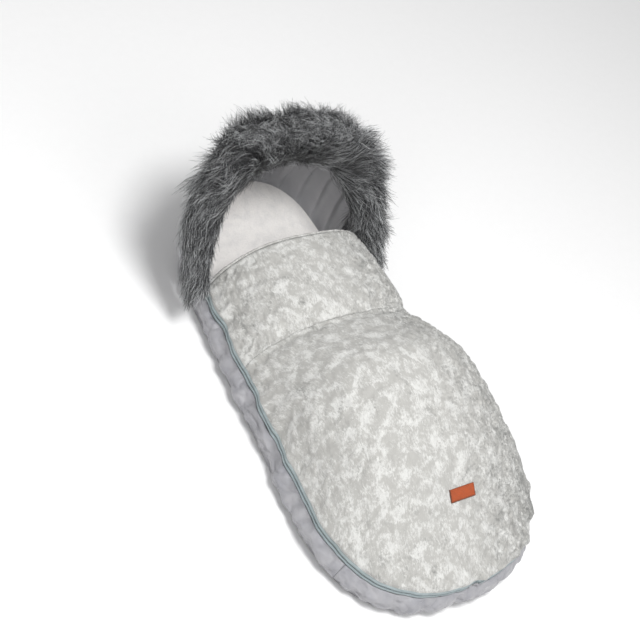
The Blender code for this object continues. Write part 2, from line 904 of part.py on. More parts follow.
def make_wing(side, root, pieces, looks):
    """The hood's side wing: it closes the corner between the hood's edge, the fur and the zip's end."""
    shares = [hood_share_at(cover_base + wing_lift)]
    shares += [i / hood_rows for i in range(hood_rows) if shares[0] < i / hood_rows < wing_top_share]
    shares.append(wing_top_share)
    count = len(shares) - 1

    def place(u, v, w):
        t = shares[int(round(v * count))]
        round_way = (hood_section(probe_share, t) - hood_section(0, t)).normalized()
        edge = hood_front_edge(t) - round_way * seat_gap
        angle = hood_first_angle * wing_top_share * v
        front = fur_line(angle) - rim_direction(0) * (fur_radius_at(angle) + wall_gap)
        point = edge.lerp(front, u) - hood_normal(0, t) * (wing_thickness * w)
        point.x *= side
        return point

    stem = "right" if side > 0 else "left"
    mesh = mapped_block(f"hood_wing_{stem}", wing_columns, count, place)
    add_object(f"hood_wing_{stem}", mesh, looks["shell"], root, pieces)


def make_hem(root, pieces, looks):
    """The casing sewn along the hood's rim, and the elastic that runs in it."""
    points = [hem_line(pi * i / hood_facets) for i in range(hood_facets + 1)]
    radii = [hem_radius] * len(points)
    casing = tube("hood_hem", points, radii, looks["shell"], root, pieces, caps=False, resolution=1)
    thicken(casing, 0.0, hem_cloth)
    elastic_radius = hem_radius * cos(pi / hem_sides) - hem_cloth - elastic_room
    tube(
        "hood_elastic", points, [elastic_radius] * len(points), looks["tape"], root, pieces, resolution=0
    )


def make_fur(root, pieces, looks):
    """The long-pile trim round the hood's opening, as one tapering roll."""
    angles = [pi * i / roll_facets for i in range(roll_facets + 1)]
    points = [fur_line(angle) for angle in angles]
    radii = [fur_radius_at(angle) for angle in angles]
    tube("fur_trim", points, radii, looks["fur"], root, pieces)


def empty_at(name, parent, place, collection):
    empty = bpy.data.objects.new(name, None)
    collection.objects.link(empty)
    empty.parent = parent
    empty.location = Vector(place) - bag_location(parent)
    return empty


def centre_on_floor(root, pieces):
    """Moves the root so that the middle of the base of all the pieces is at the origin."""
    bpy.context.view_layer.update()
    graph = bpy.context.evaluated_depsgraph_get()
    corners = []
    for part in pieces.objects:
        if part.type not in ("MESH", "CURVE"):
            continue
        evaluated = part.evaluated_get(graph)
        mesh = evaluated.to_mesh()
        points = np.empty(len(mesh.vertices) * 3)
        mesh.vertices.foreach_get("co", points)
        world = np.array(evaluated.matrix_world)
        points = points.reshape(-1, 3) @ world[:3, :3].T + world[:3, 3]
        corners += [points.min(0), points.max(0)]
        evaluated.to_mesh_clear()
    low = np.min(corners, axis=0)
    high = np.max(corners, axis=0)
    root.location.y -= (low[1] + high[1]) / 2


def build():
    clear_scene()
    pieces = bpy.data.collections.new("stroller_footmuff")
    helpers = bpy.data.collections.new("cutters")
    bpy.context.scene.collection.children.link(pieces)
    bpy.context.scene.collection.children.link(helpers)
    looks = {
        "shell": finish("lilac_grey_cloth", (0.30, 0.30, 0.33), 0.9),
        "padding": finish("white_padding", (0.85, 0.85, 0.85), 1.0),
        "fleece": finish("off_white_fleece", (0.68, 0.65, 0.63), 1.0),
        "lining": finish("light_grey_lining", (0.42, 0.42, 0.44), 0.9),
        "print": finish("marbled_grey_cloth", (0.55, 0.56, 0.54), 0.85),
        "tape": finish("blue_grey_tape", (0.33, 0.45, 0.48), 0.8),
        "teeth": finish("grey_zip_coil", (0.08, 0.10, 0.11), 0.5),
        "metal": finish("dull_nickel", (0.60, 0.60, 0.62), 0.35, 1.0),
        "leather": finish("tan_leather", (0.60, 0.13, 0.03), 0.55),
        "fur": finish("grey_long_pile", (0.22, 0.22, 0.23), 1.0),
    }
    root = bpy.data.objects.new("footmuff", None)
    pieces.objects.link(root)
    cover = empty_at("cover_hinge", root, (0, foot_axis_y, zip_height), pieces)
    flap_axis_height = cover_height(0, lower_cover_length) + flap_axis_lift
    flap = empty_at("flap_hinge", cover, (0, lower_cover_length, flap_axis_height), pieces)

    make_back(root, pieces, helpers, looks)
    make_gussets(root, pieces, looks)
    make_cover(cover, flap, pieces, looks)
    make_label(cover, pieces, looks)
    for side, stem in ((-1, "left"), (1, "right")):
        make_zip(side, root, cover, flap, pieces, looks)
        body, bar_x = make_slider(side, root, pieces, helpers, looks)
        make_pull(stem, body, bar_x, pieces, helpers, looks)
        make_wing(side, root, pieces, looks)
    make_meeting_tab(root, pieces, looks)
    make_hood(root, pieces, looks)
    make_hem(root, pieces, looks)
    make_fur(root, pieces, looks)
    centre_on_floor(root, pieces)


build()
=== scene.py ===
"""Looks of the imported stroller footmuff: quilted cover, gussets, zips, hood, long-pile trim, label,
metal, and the stage. Shapes are worked out in the bag's own coordinates, whose Y starts at the foot
end, from the same sizes as the solids, and move to the frame as each mesh is finished."""

import json
from functools import partial
from math import atan2, cos, hypot, pi, radians, sin, tan

import bmesh
import bpy
import numpy as np
from bpy.props import FloatProperty, FloatVectorProperty, IntProperty, PointerProperty
from mathutils import Matrix, Vector, noise

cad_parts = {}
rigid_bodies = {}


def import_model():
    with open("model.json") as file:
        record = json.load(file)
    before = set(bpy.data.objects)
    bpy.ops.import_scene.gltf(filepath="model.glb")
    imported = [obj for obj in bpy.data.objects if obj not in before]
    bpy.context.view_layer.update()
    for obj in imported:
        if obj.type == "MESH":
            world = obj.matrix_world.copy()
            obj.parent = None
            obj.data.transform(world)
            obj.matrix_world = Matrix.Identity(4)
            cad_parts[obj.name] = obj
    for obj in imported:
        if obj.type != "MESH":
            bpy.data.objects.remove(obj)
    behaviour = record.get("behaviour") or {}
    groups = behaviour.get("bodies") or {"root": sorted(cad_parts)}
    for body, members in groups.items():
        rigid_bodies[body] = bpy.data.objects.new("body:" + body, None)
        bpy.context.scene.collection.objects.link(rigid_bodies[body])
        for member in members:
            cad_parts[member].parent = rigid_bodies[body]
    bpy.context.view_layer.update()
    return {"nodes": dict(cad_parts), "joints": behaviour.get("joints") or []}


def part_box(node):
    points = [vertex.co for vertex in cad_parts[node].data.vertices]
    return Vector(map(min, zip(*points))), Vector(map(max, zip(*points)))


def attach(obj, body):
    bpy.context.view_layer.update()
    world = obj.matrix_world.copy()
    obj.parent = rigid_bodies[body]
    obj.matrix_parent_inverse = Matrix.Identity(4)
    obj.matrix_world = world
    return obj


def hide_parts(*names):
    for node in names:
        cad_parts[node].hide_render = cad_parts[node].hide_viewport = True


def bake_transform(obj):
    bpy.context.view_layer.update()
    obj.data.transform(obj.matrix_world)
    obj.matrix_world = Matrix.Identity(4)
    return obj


bl_info = {
    "name": "Stroller footmuff",
    "version": (1, 0, 0),
    "blender": (4, 5, 0),
    "location": "View3D > Sidebar > Footmuff",
    "description": "Builds the cloth, pile, zips and label of a padded stroller footmuff",
    "category": "Add Mesh",
}

for item in list(bpy.data.objects):
    bpy.data.objects.remove(item)
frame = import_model()
joints = {joint["name"]: joint for joint in frame["joints"]}

# Sizes of the solids, in metres
gap = 0.0003
wall_gap = 0.0010
seat_gap = 0.0008
foot_half_width = 0.218
shoulder_half_width = 0.167
foot_round_length = 0.203
lower_cover_length = 0.490
flap_length = 0.167
zip_overrun = 0.043
head_round_length = 0.155
foot_roundness = 2.56
curl_angle = radians(31.5)
curl_blend_length = 0.080
cloth = 0.0015
lining_cloth = 0.0020
fleece = 0.0060
back_padding = 0.0140
head_padding = 0.0320
gusset_padding = 0.0080
cover_padding = 0.0100
hood_padding = 0.0060
gusset_bulge = 0.0120
gusset_corner_from_foot = 0.110
zip_height = 0.0550
zip_band_half = 0.0080
tape_thickness = 0.0009
tooth_row_height = 0.0020
tooth_thickness = 0.0026
chain_slot = 0.0016
stop_length = 0.0030
crown_height = 0.165
crown_place_shares = (0, 0.16, 0.41, 0.70, 1)
crown_height_shares = (0.27, 0.39, 0.78, 1, 0.64)
flap_end_height_share = 0.66
crown_edge_power = 2.86
crown_side_power = 0.60
edge_roll_radius = 0.0026
foot_axis_clearance = 0.0010
label_length = 0.055
label_width = 0.018
label_thickness = 0.0016
label_from_foot = 0.124
label_lift = 0.0008
meeting_tab_half_length = 0.012
fur_overhang = 0.028
fur_front_before_shoulder = 0.055
fur_depth = 0.150
fur_front_height = 0.080
fur_rise = 0.195
fur_end_radius = 0.010
fur_radius = 0.040
fur_width_power = 0.76
fur_depth_power = 0.90
fur_radius_power = 1.30
hood_first_angle = radians(20)
hood_front_lean = radians(55)
hood_top_lean = radians(25)
hood_side_bulge = 0.010
hood_end_bulge = 0.045
hood_base_rise = 0.040
hood_rim_run = 0.045
hood_shoulder_run_share = 0.25
hem_radius = 0.0050
wing_lift = 0.0010
wing_thickness = 0.0040
wing_top_share = 0.92
pleat_count = 12
slot_length = 0.045
slot_width = 0.012
slot_binding_width = 0.006
shoulder_slot_past_seam = 0.075
shoulder_slot_half_spacing = 0.055
waist_slot_from_foot = 0.345
waist_slot_half_spacing = 0.095
crotch_slot_from_foot = 0.265

cover_length = lower_cover_length + flap_length
straight_length = cover_length + zip_overrun
gusset_top = zip_height - zip_band_half
cover_base = zip_height + zip_band_half
back_bottom = cloth + gap
gusset_stack = cloth + gusset_padding + lining_cloth + 2 * gap
cover_stack = cloth + cover_padding + gap
hinge_from_foot = tooth_thickness / 2 + foot_axis_clearance
bag_foot = joints["cover_open"]["pos_m"][1] + hinge_from_foot

# Step for slopes
probe = 0.01
# Where the sliders are parked, from the foot
slider_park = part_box("slider_left")[0].y - bag_foot + 0.008
# Length of the outline from the foot's middle to where the straight sides start
foot_run = 0.330
# The zip's wander: its wave length, how near to a parked slider it is still, and the notch at the
# foot's middle, where the two zips meet
zip_wave_length = 0.115
zip_still_reach = 0.012
notch_reach = 0.016
notch_rise = 0.0035
notch_set_back = 0.002


def band_scale(spacing):
    """The wave texture's scale for bands that are spacing metres apart."""
    return 2 * pi / (20 * spacing)


def linear(colour):
    """An sRGB colour written #rrggbb, in linear light."""
    channels = [int(colour[i : i + 2], 16) / 255 for i in (1, 3, 5)]
    return tuple(c / 12.92 if c <= 0.04045 else ((c + 0.055) / 1.055) ** 2.4 for c in channels)


def colour_property(name, description, default):
    return FloatVectorProperty(
        name=name, description=description, subtype="COLOR", size=3, min=0, max=1, default=linear(default)
    )


def length_property(name, description, default):
    return FloatProperty(
        name=name, description=description, unit="LENGTH", subtype="DISTANCE", default=default
    )


class FootmuffSizes(bpy.types.PropertyGroup):
    """Sizes of the soft detail"""

    swell: length_property("Swell", "Height of the cover's broad puffs", 0.0030)
    crease: length_property("Crease", "Height of the cover's fine creases", 0.0023)
    seam_sink: length_property("Seam sink", "Depth of the valley at the cross seam", 0.0100)
    scallop: length_property("Scallop", "How far the cover's edge bulges over the zip", 0.0062)
    scallop_length: length_property("Scallop length", "Length of one bulge along the zip", 0.046)
    filling_pressure: FloatProperty(name="Filling pressure", description="Push of the padding", default=3.0)
    spare_cloth: FloatProperty(name="Spare cloth", description="Share of extra cloth sewn in", default=0.035)
    settling_frames: IntProperty(name="Settling frames", description="Frames of cloth simulation", default=20)
    settling_cap: length_property("Settling cap", "Furthest that the padding moves the cloth", 0.0036)
    zip_wave: length_property("Zip wave", "How far the zip wanders in and out along its run", 0.0042)
    wall_fold: length_property("Wall fold", "Height of the folds in the gusset", 0.0042)
    gather: length_property("Gather", "Height of the gathers at the hood's hem", 0.0022)
    pile_length: length_property("Pile length", "Length of the longest hairs", 0.074)
    hair_radius: length_property("Hair radius", "Radius of a hair at its root", 0.00043)
    lock_radius: length_property("Lock radius", "Radius of one lock of hairs at its root", 0.0062)
    tooth_pitch: length_property("Tooth pitch", "Spacing of the zip's coils", 0.0018)
    stitch_length: length_property("Stitch length", "Length of one stitch", 0.0030)
    locks: IntProperty(name="Locks", description="Locks of hair on each part of the trim", default=520, min=1)
    hairs: IntProperty(name="Hairs", description="Hairs in one lock", default=14, min=1)


class FootmuffColours(bpy.types.PropertyGroup):
    """Colours of the finishes"""

    print_ground: colour_property("Print ground", "Grey that the cover is printed on", "#b9b8b4")
    print_light: colour_property("Print light", "Off-white blots of the print", "#dfdfdc")
    # The dark print colour also paints the shade on the cover's right side and in its creases
    print_dark: colour_property("Print dark", "Darker clouds of the print", "#828381")
    shell: colour_property("Shell", "Satin cloth of the gusset and hood", "#94949a")
    fleece: colour_property("Fleece", "Short pile inside the bag", "#f3f0ed")
    # The lining grey is also the painted crease shade in the fleece
    lining: colour_property("Lining", "Smooth lining of the hood", "#bbbbbe")
    tape: colour_property("Tape", "Woven zip tape", "#bac7c9")
    coil: colour_property("Coil", "Nylon coil of the zips", "#7f8c91")
    thread: colour_property("Thread", "Sewing thread", "#b4bdbf")
    leather: colour_property("Leather", "Face of the label", "#b04b14")
    leather_edge: colour_property("Leather edge", "Burnished edge of the label", "#55290c")
    nickel: colour_property("Nickel", "Plated metal", "#b9b7b0")
    pile_root: colour_property("Pile root", "Hair next to the backing", "#161617")
    pile_middle: colour_property("Pile middle", "Middle of a hair", "#4d4e50")
    pile_tip: colour_property("Pile tip", "Silver tip of a hair", "#e2e4e5")
    floor: colour_property("Floor", "Studio floor", "#fafafa")


def smooth_through(x, places, values):
    """A monotone cubic through the given points."""
    places = np.asarray(places, float)
    values = np.asarray(values, float)
    steps = np.diff(places)
    rises = np.diff(values) / steps
    slopes = np.zeros(len(places))
    for i in range(1, len(places) - 1):
        if rises[i - 1] * rises[i] > 0:
            slopes[i] = 2 * rises[i - 1] * rises[i] / (rises[i - 1] + rises[i])
    x = min(max(x, places[0]), places[-1])
    i = min(int(np.searchsorted(places, x, side="right")) - 1, len(steps) - 1)
    t = (x - places[i]) / steps[i]
    start = values[i] * (1 + 2 * t) * (1 - t) ** 2 + slopes[i] * steps[i] * t * (1 - t) ** 2
    end = values[i + 1] * t * t * (3 - 2 * t) + slopes[i + 1] * steps[i] * t * t * (t - 1)
    return float(start + end)


def ease(t):
    t = min(max(t, 0.0), 1.0)
    return t * t * (3 - 2 * t)


def straight_half_width(y):
    """Half width of the bag on its straight tapering sides."""
    t = (y - foot_round_length) / (straight_length - foot_round_length)
    return foot_half_width + (shoulder_half_width - foot_half_width) * t


def foot_row(angle, inset=0.0):
    """(half width, y) of the plan's rounded foot: angle 0 at the side, a quarter turn at the foot."""
    width = (foot_half_width - inset) * cos(angle) ** (2 / foot_roundness)
    reach = (foot_round_length - inset) * sin(angle) ** (2 / foot_roundness)
    return width, foot_round_length - reach


def head_row(angle, inset=0.0):
    width = (shoulder_half_width - inset) * cos(angle)
    return width, straight_length + (head_round_length - inset) * sin(angle)


def crown_at(y):
    places = [share * lower_cover_length for share in crown_place_shares] + [cover_length]
    heights = [share * crown_height for share in crown_height_shares]
    return smooth_through(y, places, heights + [flap_end_height_share * crown_height])


def outness(x, y):
    """0 on the bag's middle line to 1 on its outline."""
    side = abs(x) / (foot_half_width if y < foot_round_length else straight_half_width(y))
    end = max(0.0, foot_round_length - y) / foot_round_length
    return min(1.0, (side**foot_roundness + end**foot_roundness) ** (1 / foot_roundness))


def cover_height(x, y):
    fall = (1 - outness(x, y) ** crown_edge_power) ** crown_side_power
    return cover_base + crown_at(y) * fall


def curl(y):
    """Height of the back's underside, which the hood's elastic curls up at the head."""
    past = y - straight_length
    if past <= 0:
        return 0.0
    if past < curl_blend_length:
        return tan(curl_angle) * past**2 / (2 * curl_blend_length)
    return tan(curl_angle) * (past - curl_blend_length / 2)


def back_padding_at(y):
    start = lower_cover_length + flap_length / 2
    return back_padding + (head_padding - back_padding) * ease((y - start) / head_round_length)


def padding_bottom(y):
    return curl(y) + back_bottom


def lining_top(y):
    return padding_bottom(y) + back_padding_at(y) + gap + fleece


def outline_point(side, share):
    """Plan point and outward normal on one side: shares 0 to 1 run round the foot, 1 to 2 up the side."""
    if share <= 1:
        x, y = foot_row(pi / 2 * (1 - share))
        across = x ** (foot_roundness - 1) / foot_half_width**foot_roundness
        end = (foot_round_length - y) ** (foot_roundness - 1) / foot_round_length**foot_roundness
        normal = Vector((across, -end, 0)).normalized()
    else:
        y = foot_round_length + (straight_length - foot_round_length) * (share - 1)
        x = straight_half_width(y)
        slope = (foot_half_width - shoulder_half_width) / (straight_length - foot_round_length)
        normal = Vector((1, slope, 0)).normalized()
    normal.x *= side
    return Vector((side * x, y, 0)), normal


def side_share(y):
    """Share on outline_point's scale of a place on the straight side."""
    return 1 + (y - foot_round_length) / (straight_length - foot_round_length)


def foot_share(y):
    """Share on outline_point's scale of a place on the rounded foot."""
    reach = (foot_round_length - y) / foot_round_length
    return 1 - np.arcsin(reach ** (foot_roundness / 2)) / (pi / 2)


def share_across(x):
    """Share on outline_point's scale of the place on the rounded foot that is x from the middle line."""
    return 1 - np.arccos((x / foot_half_width) ** (foot_roundness / 2)) / (pi / 2)


def outline_run(x, y):
    """Length along the outline from the foot's middle to the place nearest (x, y), signed by side."""
    side = 1 if x >= 0 else -1
    if y > foot_round_length:
        return side * (foot_run + y - foot_round_length)
    turn = atan2((foot_round_length - y) / foot_round_length, abs(x) / foot_half_width)
    return side * foot_run * (1 - turn / (pi / 2))


def fur_line(angle):
    """Middle of the pile trim's roll: angle 0 at the right shoulder, a quarter turn over the head."""
    lift = max(sin(angle), 0.0)
    across = cos(angle)
    x = (shoulder_half_width + fur_overhang) * np.sign(across) * abs(across) ** fur_width_power
    y = straight_length - fur_front_before_shoulder + fur_depth * lift**fur_depth_power
    return Vector((x, y, fur_front_height + fur_rise * lift))


def fur_radius_at(angle):
    share = max(sin(angle), 0.0) ** fur_radius_power
    return fur_end_radius + (fur_radius - fur_end_radius) * share


def fur_tangent(angle):
    return (fur_line(angle + probe) - fur_line(angle - probe)).normalized()


def head_edge(turn):
    """Point and outward normal on the back's head edge, turn 0 at the right shoulder to pi at the left."""
    width, y = head_row(turn if turn <= pi / 2 else pi - turn)
    x = width if turn <= pi / 2 else -width
    across = x / shoulder_half_width**2
    along = (y - straight_length) / head_round_length**2
    return Vector((x, y, curl(y) + cloth + seat_gap)), Vector((across, along, 0)).normalized()


def fur_angle(turn):
    return hood_first_angle + (pi - 2 * hood_first_angle) * turn / pi


def hem_turn(angle):
    """Turn on the hood's hem that lies beside an angle of the trim."""
    return min(max((angle - hood_first_angle) / (pi - 2 * hood_first_angle), 0), 1) * pi


def rim_direction(turn):
    """Way that the hood runs into its hem: square to the trim's line, leaning to the opening."""
    lean = hood_front_lean + (hood_top_lean - hood_front_lean) * sin(turn)
    towards = Vector((0, -sin(lean), cos(lean)))
    along = fur_tangent(fur_angle(turn))
    return (towards - along * towards.dot(along)).normalized()


def hem_line(turn):
    angle = fur_angle(turn)
    return fur_line(angle) - rim_direction(turn) * (fur_radius_at(angle) + gap + hem_radius)


def hood_section(turn, t):
    """Point of the hood's outer face, t from 0 on the back's edge to 1 at the hem."""
    base, normal = head_edge(turn)
    direction = rim_direction(turn)
    rim = hem_line(turn) - direction * (hem_radius + gap)
    bulge = hood_side_bulge + (hood_end_bulge - hood_side_bulge) * sin(turn)
    first = base + normal * bulge + Vector((0, 0, hood_base_rise))
    run = hood_rim_run * (hood_shoulder_run_share + (1 - hood_shoulder_run_share) * sin(turn))
    second = rim - direction * run
    s = 1 - t
    return base * s**3 + first * (3 * s * s * t) + second * (3 * s * t * t) + rim * t**3


def hood_normal(turn, t):
    a, b = max(turn - probe, 0.0), min(turn + probe, pi)
    low, high = max(t - probe, 0.0), min(t + probe, 1.0)
    round_way = hood_section(b, t) - hood_section(a, t)
    return round_way.cross(hood_section(turn, high) - hood_section(turn, low)).normalized()


def outward(x, y):
    """Unit direction across the plan's outline, away from the bag, near a place on its edge."""
    if y > foot_round_length:
        side = 1 if x >= 0 else -1
        slope = (foot_half_width - shoulder_half_width) / (straight_length - foot_round_length)
        return Vector((side, slope, 0)).normalized()
    across = abs(x / foot_half_width) ** (foot_roundness - 1) / foot_half_width
    end = ((foot_round_length - y) / foot_round_length) ** (foot_roundness - 1) / foot_round_length
    return Vector((across if x >= 0 else -across, -end, 0)).normalized()


def zip_sway(x, y, sizes):
    """How the sewn edges pull the zip off its line: out across the outline and up. It is still where the
    sliders stand at each end of their travel, and pinched up where the two zips meet at the foot."""
    run = outline_run(x, y)
    side = 1 if x >= 0 else -1
    travel = joints["slider_left_travel"]["range_m"][1]
    still = min(abs(y - slider_park), abs(y - slider_park + travel))
    share = ease((still - zip_still_reach) / 0.05) * ease((straight_length - y) / 0.06)
    long_wave = sin(2 * pi * run / zip_wave_length + side)
    out = sizes.zip_wave * share * (0.45 * long_wave + 1.1 * ripple(run, side, 0, 0.045, 3.0))
    up = sizes.zip_wave * share * 0.8 * ripple(run, side, 0, 0.060, 9.0)
    notch = ease(1 - abs(run) / notch_reach)
    up = up * (1 - notch) + notch_rise * notch
    sway = Vector((0, 0, up)) + outward(x, y) * (out * (1 - notch) - notch_set_back * notch)
    # No part of the zip passes the line that the cover swings about
    sway.y = max(sway.y, -0.0004 - y)
    return sway


def ripple(x, y, z, scale, seed=0.0, octaves=2):
    """Smooth noise about 0 whose features are about scale metres across."""
    return noise.fractal(Vector((x / scale + seed, y / scale, z / scale)), 1.0, 2.0, octaves)


def ridges(x, y, scale, stretch, turn, seed):
    """Creases from 0 to 1 that run along a direction, sharp at the top."""
    along = x * cos(turn) + y * sin(turn)
    across = -x * sin(turn) + y * cos(turn)
    value = noise.noise(Vector((along / (scale * stretch), across / scale, seed)))
    return max(0.0, 1 - 3.2 * abs(value)) ** 2


def finished(bm, name):
    """The bmesh as a smooth mesh in the frame's coordinates."""
    bmesh.ops.translate(bm, verts=bm.verts[:], vec=(0, bag_foot, 0))
    mesh = bpy.data.meshes.new(name)
    bm.to_mesh(mesh)
    bm.free()
    mesh.shade_smooth()
    return mesh


def grid(columns, rows, place):
    """Points of the surface place(u, v), by row and column."""
    return np.array([[place(i / columns, j / rows) for i in range(columns + 1)] for j in range(rows + 1)])


def normals_of(surface, way=1):
    normals = way * np.cross(np.gradient(surface, axis=1), np.gradient(surface, axis=0))
    return normals / np.maximum(np.linalg.norm(normals, axis=2, keepdims=True), 1e-12)


def stand_off(surface, normals, stand):
    """The surface moved along its normals by stand(u, v, point)."""
    rows, columns = surface.shape[0] - 1, surface.shape[1] - 1
    moves = [
        [stand(i / columns, j / rows, Vector(surface[j, i])) for i in range(columns + 1)]
        for j in range(rows + 1)
    ]
    return surface + normals * np.array(moves)[:, :, None]


def grid_mesh(surface):
    """A bmesh grid over the surface, and the row and column of each of its vertices."""
    rows, columns = surface.shape[0] - 1, surface.shape[1] - 1
    bm = bmesh.new()
    bmesh.ops.create_grid(bm, x_segments=columns, y_segments=rows, size=0.5)
    corners = [(vertex.co.y + 0.5, vertex.co.x + 0.5) for vertex in bm.verts]
    cells = [(round(up * rows), round(across * columns)) for up, across in corners]
    for vertex, cell in zip(bm.verts, cells):
        vertex.co = surface[cell]
    return bm, cells


def raised_copy(bm):
    """Extrudes all of a bmesh's faces, and gives the new vertices."""
    raised = bmesh.ops.extrude_face_region(bm, geom=bm.faces[:])
    return {item for item in raised["geom"] if isinstance(item, bmesh.types.BMVert)}


def lay_flat(bm):
    """Gives a level piece its own plan as its flat cloth."""
    flat = bm.loops.layers.uv.new("cloth")
    for face in bm.faces:
        for loop in face.loops:
            loop[flat].uv = loop.vert.co.xy


def quilt(name, surface, outer, inner, way=1):
    """A closed layer whose faces stand off the surface by outer and inner along its normals.
    Its UV map holds the flat cloth in metres, measured from the middle line and the first row."""
    normals = normals_of(surface, way)
    faces = (stand_off(surface, normals, outer), stand_off(surface, normals, inner))
    columns = surface.shape[1] - 1
    widths = np.cumsum(np.linalg.norm(np.diff(surface, axis=1, prepend=surface[:, :1]), axis=2), axis=1)
    widths -= widths[:, columns // 2][:, None]
    middle = surface[:, columns // 2]
    lengths = np.cumsum(np.linalg.norm(np.diff(middle, axis=0, prepend=middle[:1]), axis=1))
    bm, cells = grid_mesh(surface)
    number = bm.verts.layers.int.new("cell")
    for vertex, (row, column) in zip(bm.verts, cells):
        vertex[number] = row * (columns + 1) + column
    far = raised_copy(bm)
    for vertex in bm.verts:
        vertex.co = faces[vertex in far][divmod(vertex[number], columns + 1)]
    flat = bm.loops.layers.uv.new("cloth")
    for face in bm.faces:
        for loop in face.loops:
            row, column = divmod(loop.vert[number], columns + 1)
            loop[flat].uv = (widths[row, column], lengths[row])
    bm.verts.layers.int.remove(number)
    bmesh.ops.recalc_face_normals(bm, faces=bm.faces[:])
    return finished(bm, name)


def placed(name, data):
    """A new object in the scene that holds the data."""
    made = bpy.data.objects.new(name, data)
    bpy.context.scene.collection.objects.link(made)
    return made


def mesh_of(source):
    """The mesh that an object's curve comes to. The object is then removed."""
    graph = bpy.context.evaluated_depsgraph_get()
    mesh = bpy.data.meshes.new_from_object(source.evaluated_get(graph))
    bpy.data.objects.remove(source)
    return mesh


def settled(skin, held, sizes):
    """How far each point of a padded cloth moves when its filling swells it against its held seams."""
    coarse = skin[::2, ::2]
    bm, cells = grid_mesh(coarse)
    mesh = bpy.data.meshes.new("settling")
    bm.to_mesh(mesh)
    bm.free()
    swelling = placed("settling", mesh)
    scene = bpy.context.scene
    seams = swelling.vertex_groups.new(name="seams")
    seams.add([i for i, cell in enumerate(cells) if held[::2, ::2][cell]], 1.0, "REPLACE")
    settings = swelling.modifiers.new("settling", "CLOTH").settings
    settings.quality = 6
    settings.mass = 0.15
    settings.tension_stiffness = settings.compression_stiffness = 12
    settings.shear_stiffness = 4
    settings.bending_stiffness = 0.25
    settings.vertex_group_mass = "seams"
    settings.use_pressure = True
    settings.uniform_pressure_force = sizes.filling_pressure
    settings.shrink_min = -sizes.spare_cloth
    settings.effector_weights.gravity = 0
    for number in range(1, sizes.settling_frames + 1):
        scene.frame_set(number)
    evaluated = swelling.evaluated_get(bpy.context.evaluated_depsgraph_get()).to_mesh()
    moved = np.zeros_like(coarse)
    for vertex, cell in zip(evaluated.vertices, cells):
        moved[cell] = vertex.co
    bpy.data.objects.remove(swelling)
    scene.frame_set(1)
    shift = moved - coarse
    far = np.linalg.norm(shift, axis=2, keepdims=True)
    shift *= np.minimum(1.0, sizes.settling_cap / np.maximum(far, 1e-9))
    for axis in (0, 1):
        count = skin.shape[axis]
        fine = np.arange(count) / 2
        low = np.minimum(np.floor(fine).astype(int), shift.shape[axis] - 1)
        high = np.minimum(low + 1, shift.shape[axis] - 1)
        share = (fine - low).reshape((-1, 1, 1) if axis == 0 else (1, -1, 1))
        shift = np.take(shift, low, axis) * (1 - share) + np.take(shift, high, axis) * share
    return shift


def rim_of(surface):
    """True at the points on the surface's own edges."""
    held = np.zeros(surface.shape[:2], bool)
    held[0] = held[-1] = True
    held[:, 0] = held[:, -1] = True
    return held


def add_piece(mesh, finish, body, slot, *nodes):
    """Puts a finished mesh in the scene, under its own name, and on its body. Body None leaves it on no body,
    in the frame's coordinates."""
    piece = placed(mesh.name, mesh)
    mesh.materials.append(look(finish))
    if body:
        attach(piece, body)
    else:
        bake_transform(piece)
    if nodes:
        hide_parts(*nodes)
    return piece


def declare_sheet(piece):
    """Works out the size that a sheet was cut to, from its flat UV map and its own area, and does nothing
    further with it.
    """
    flat = np.empty(len(piece.data.loops) * 2)
    piece.data.uv_layers["cloth"].data.foreach_get("uv", flat)
    width, length = np.ptp(flat.reshape(-1, 2), axis=0)
    area = sum(face.area for face in piece.data.polygons) / 2
    length = max(float(length), area / float(width))


def stitch_row(half, spacing):
    """Places of the stitches in a row, from its middle, around which it reaches half to each side."""
    count = int(2 * half / spacing)
    return [-half + 2 * half * (i + 0.5) / count for i in range(count)]


def beads(name, places, size, group=24):
    """A mesh of small rounded beads, each at a matrix, size long along its X, Y and Z."""
    bm = bmesh.new()
    stretch = Matrix.Diagonal((*size, 1))
    for first in range(0, len(places), group):
        part = bmesh.new()
        for place in places[first : first + group]:
            bmesh.ops.create_uvsphere(part, u_segments=6, v_segments=4, radius=0.5, matrix=place @ stretch)
        mesh = bpy.data.meshes.new("beads")
        part.to_mesh(mesh)
        part.free()
        bm.from_mesh(mesh)
        bpy.data.meshes.remove(mesh)
    return finished(bm, name)


def tube_mesh(name, points, radii, sides=10):
    """A closed round tube along points, made by a curve and its bevel."""
    curve = bpy.data.curves.new(name, "CURVE")
    curve.dimensions = "3D"
    spline = curve.splines.new("POLY")
    spline.points.add(len(points) - 1)
    largest = max(radii)
    for spline_point, point, radius in zip(spline.points, points, radii):
        spline_point.co = (*point, 1)
        spline_point.radius = radius / largest
    curve.bevel_depth = largest
    curve.bevel_resolution = sides // 2 - 2
    curve.use_fill_caps = True
    mesh = mesh_of(placed(name, curve))
    bm = bmesh.new()
    bm.from_mesh(mesh)
    bpy.data.meshes.remove(mesh)
    bmesh.ops.remove_doubles(bm, verts=bm.verts[:], dist=1e-6)
    bmesh.ops.recalc_face_normals(bm, faces=bm.faces[:])
    return finished(bm, name)


def feed(made, inputs):
    """Gives a node its inputs, by name or by number. Each is a value, a socket, or a node, which
    stands for its first output."""
    usable = [socket for socket in made.inputs if socket.enabled]
    for name, value in inputs.items():
        named = [socket for socket in usable if socket.name == name]
        socket = named[0] if named else usable[name]
        if isinstance(value, bpy.types.Node):
            value = next(output for output in value.outputs if output.enabled)
        if isinstance(value, bpy.types.NodeSocket):
            made.id_data.links.new(value, socket)
        elif socket.type == "RGBA":
            socket.default_value = (*value, 1)
        else:
            socket.default_value = value


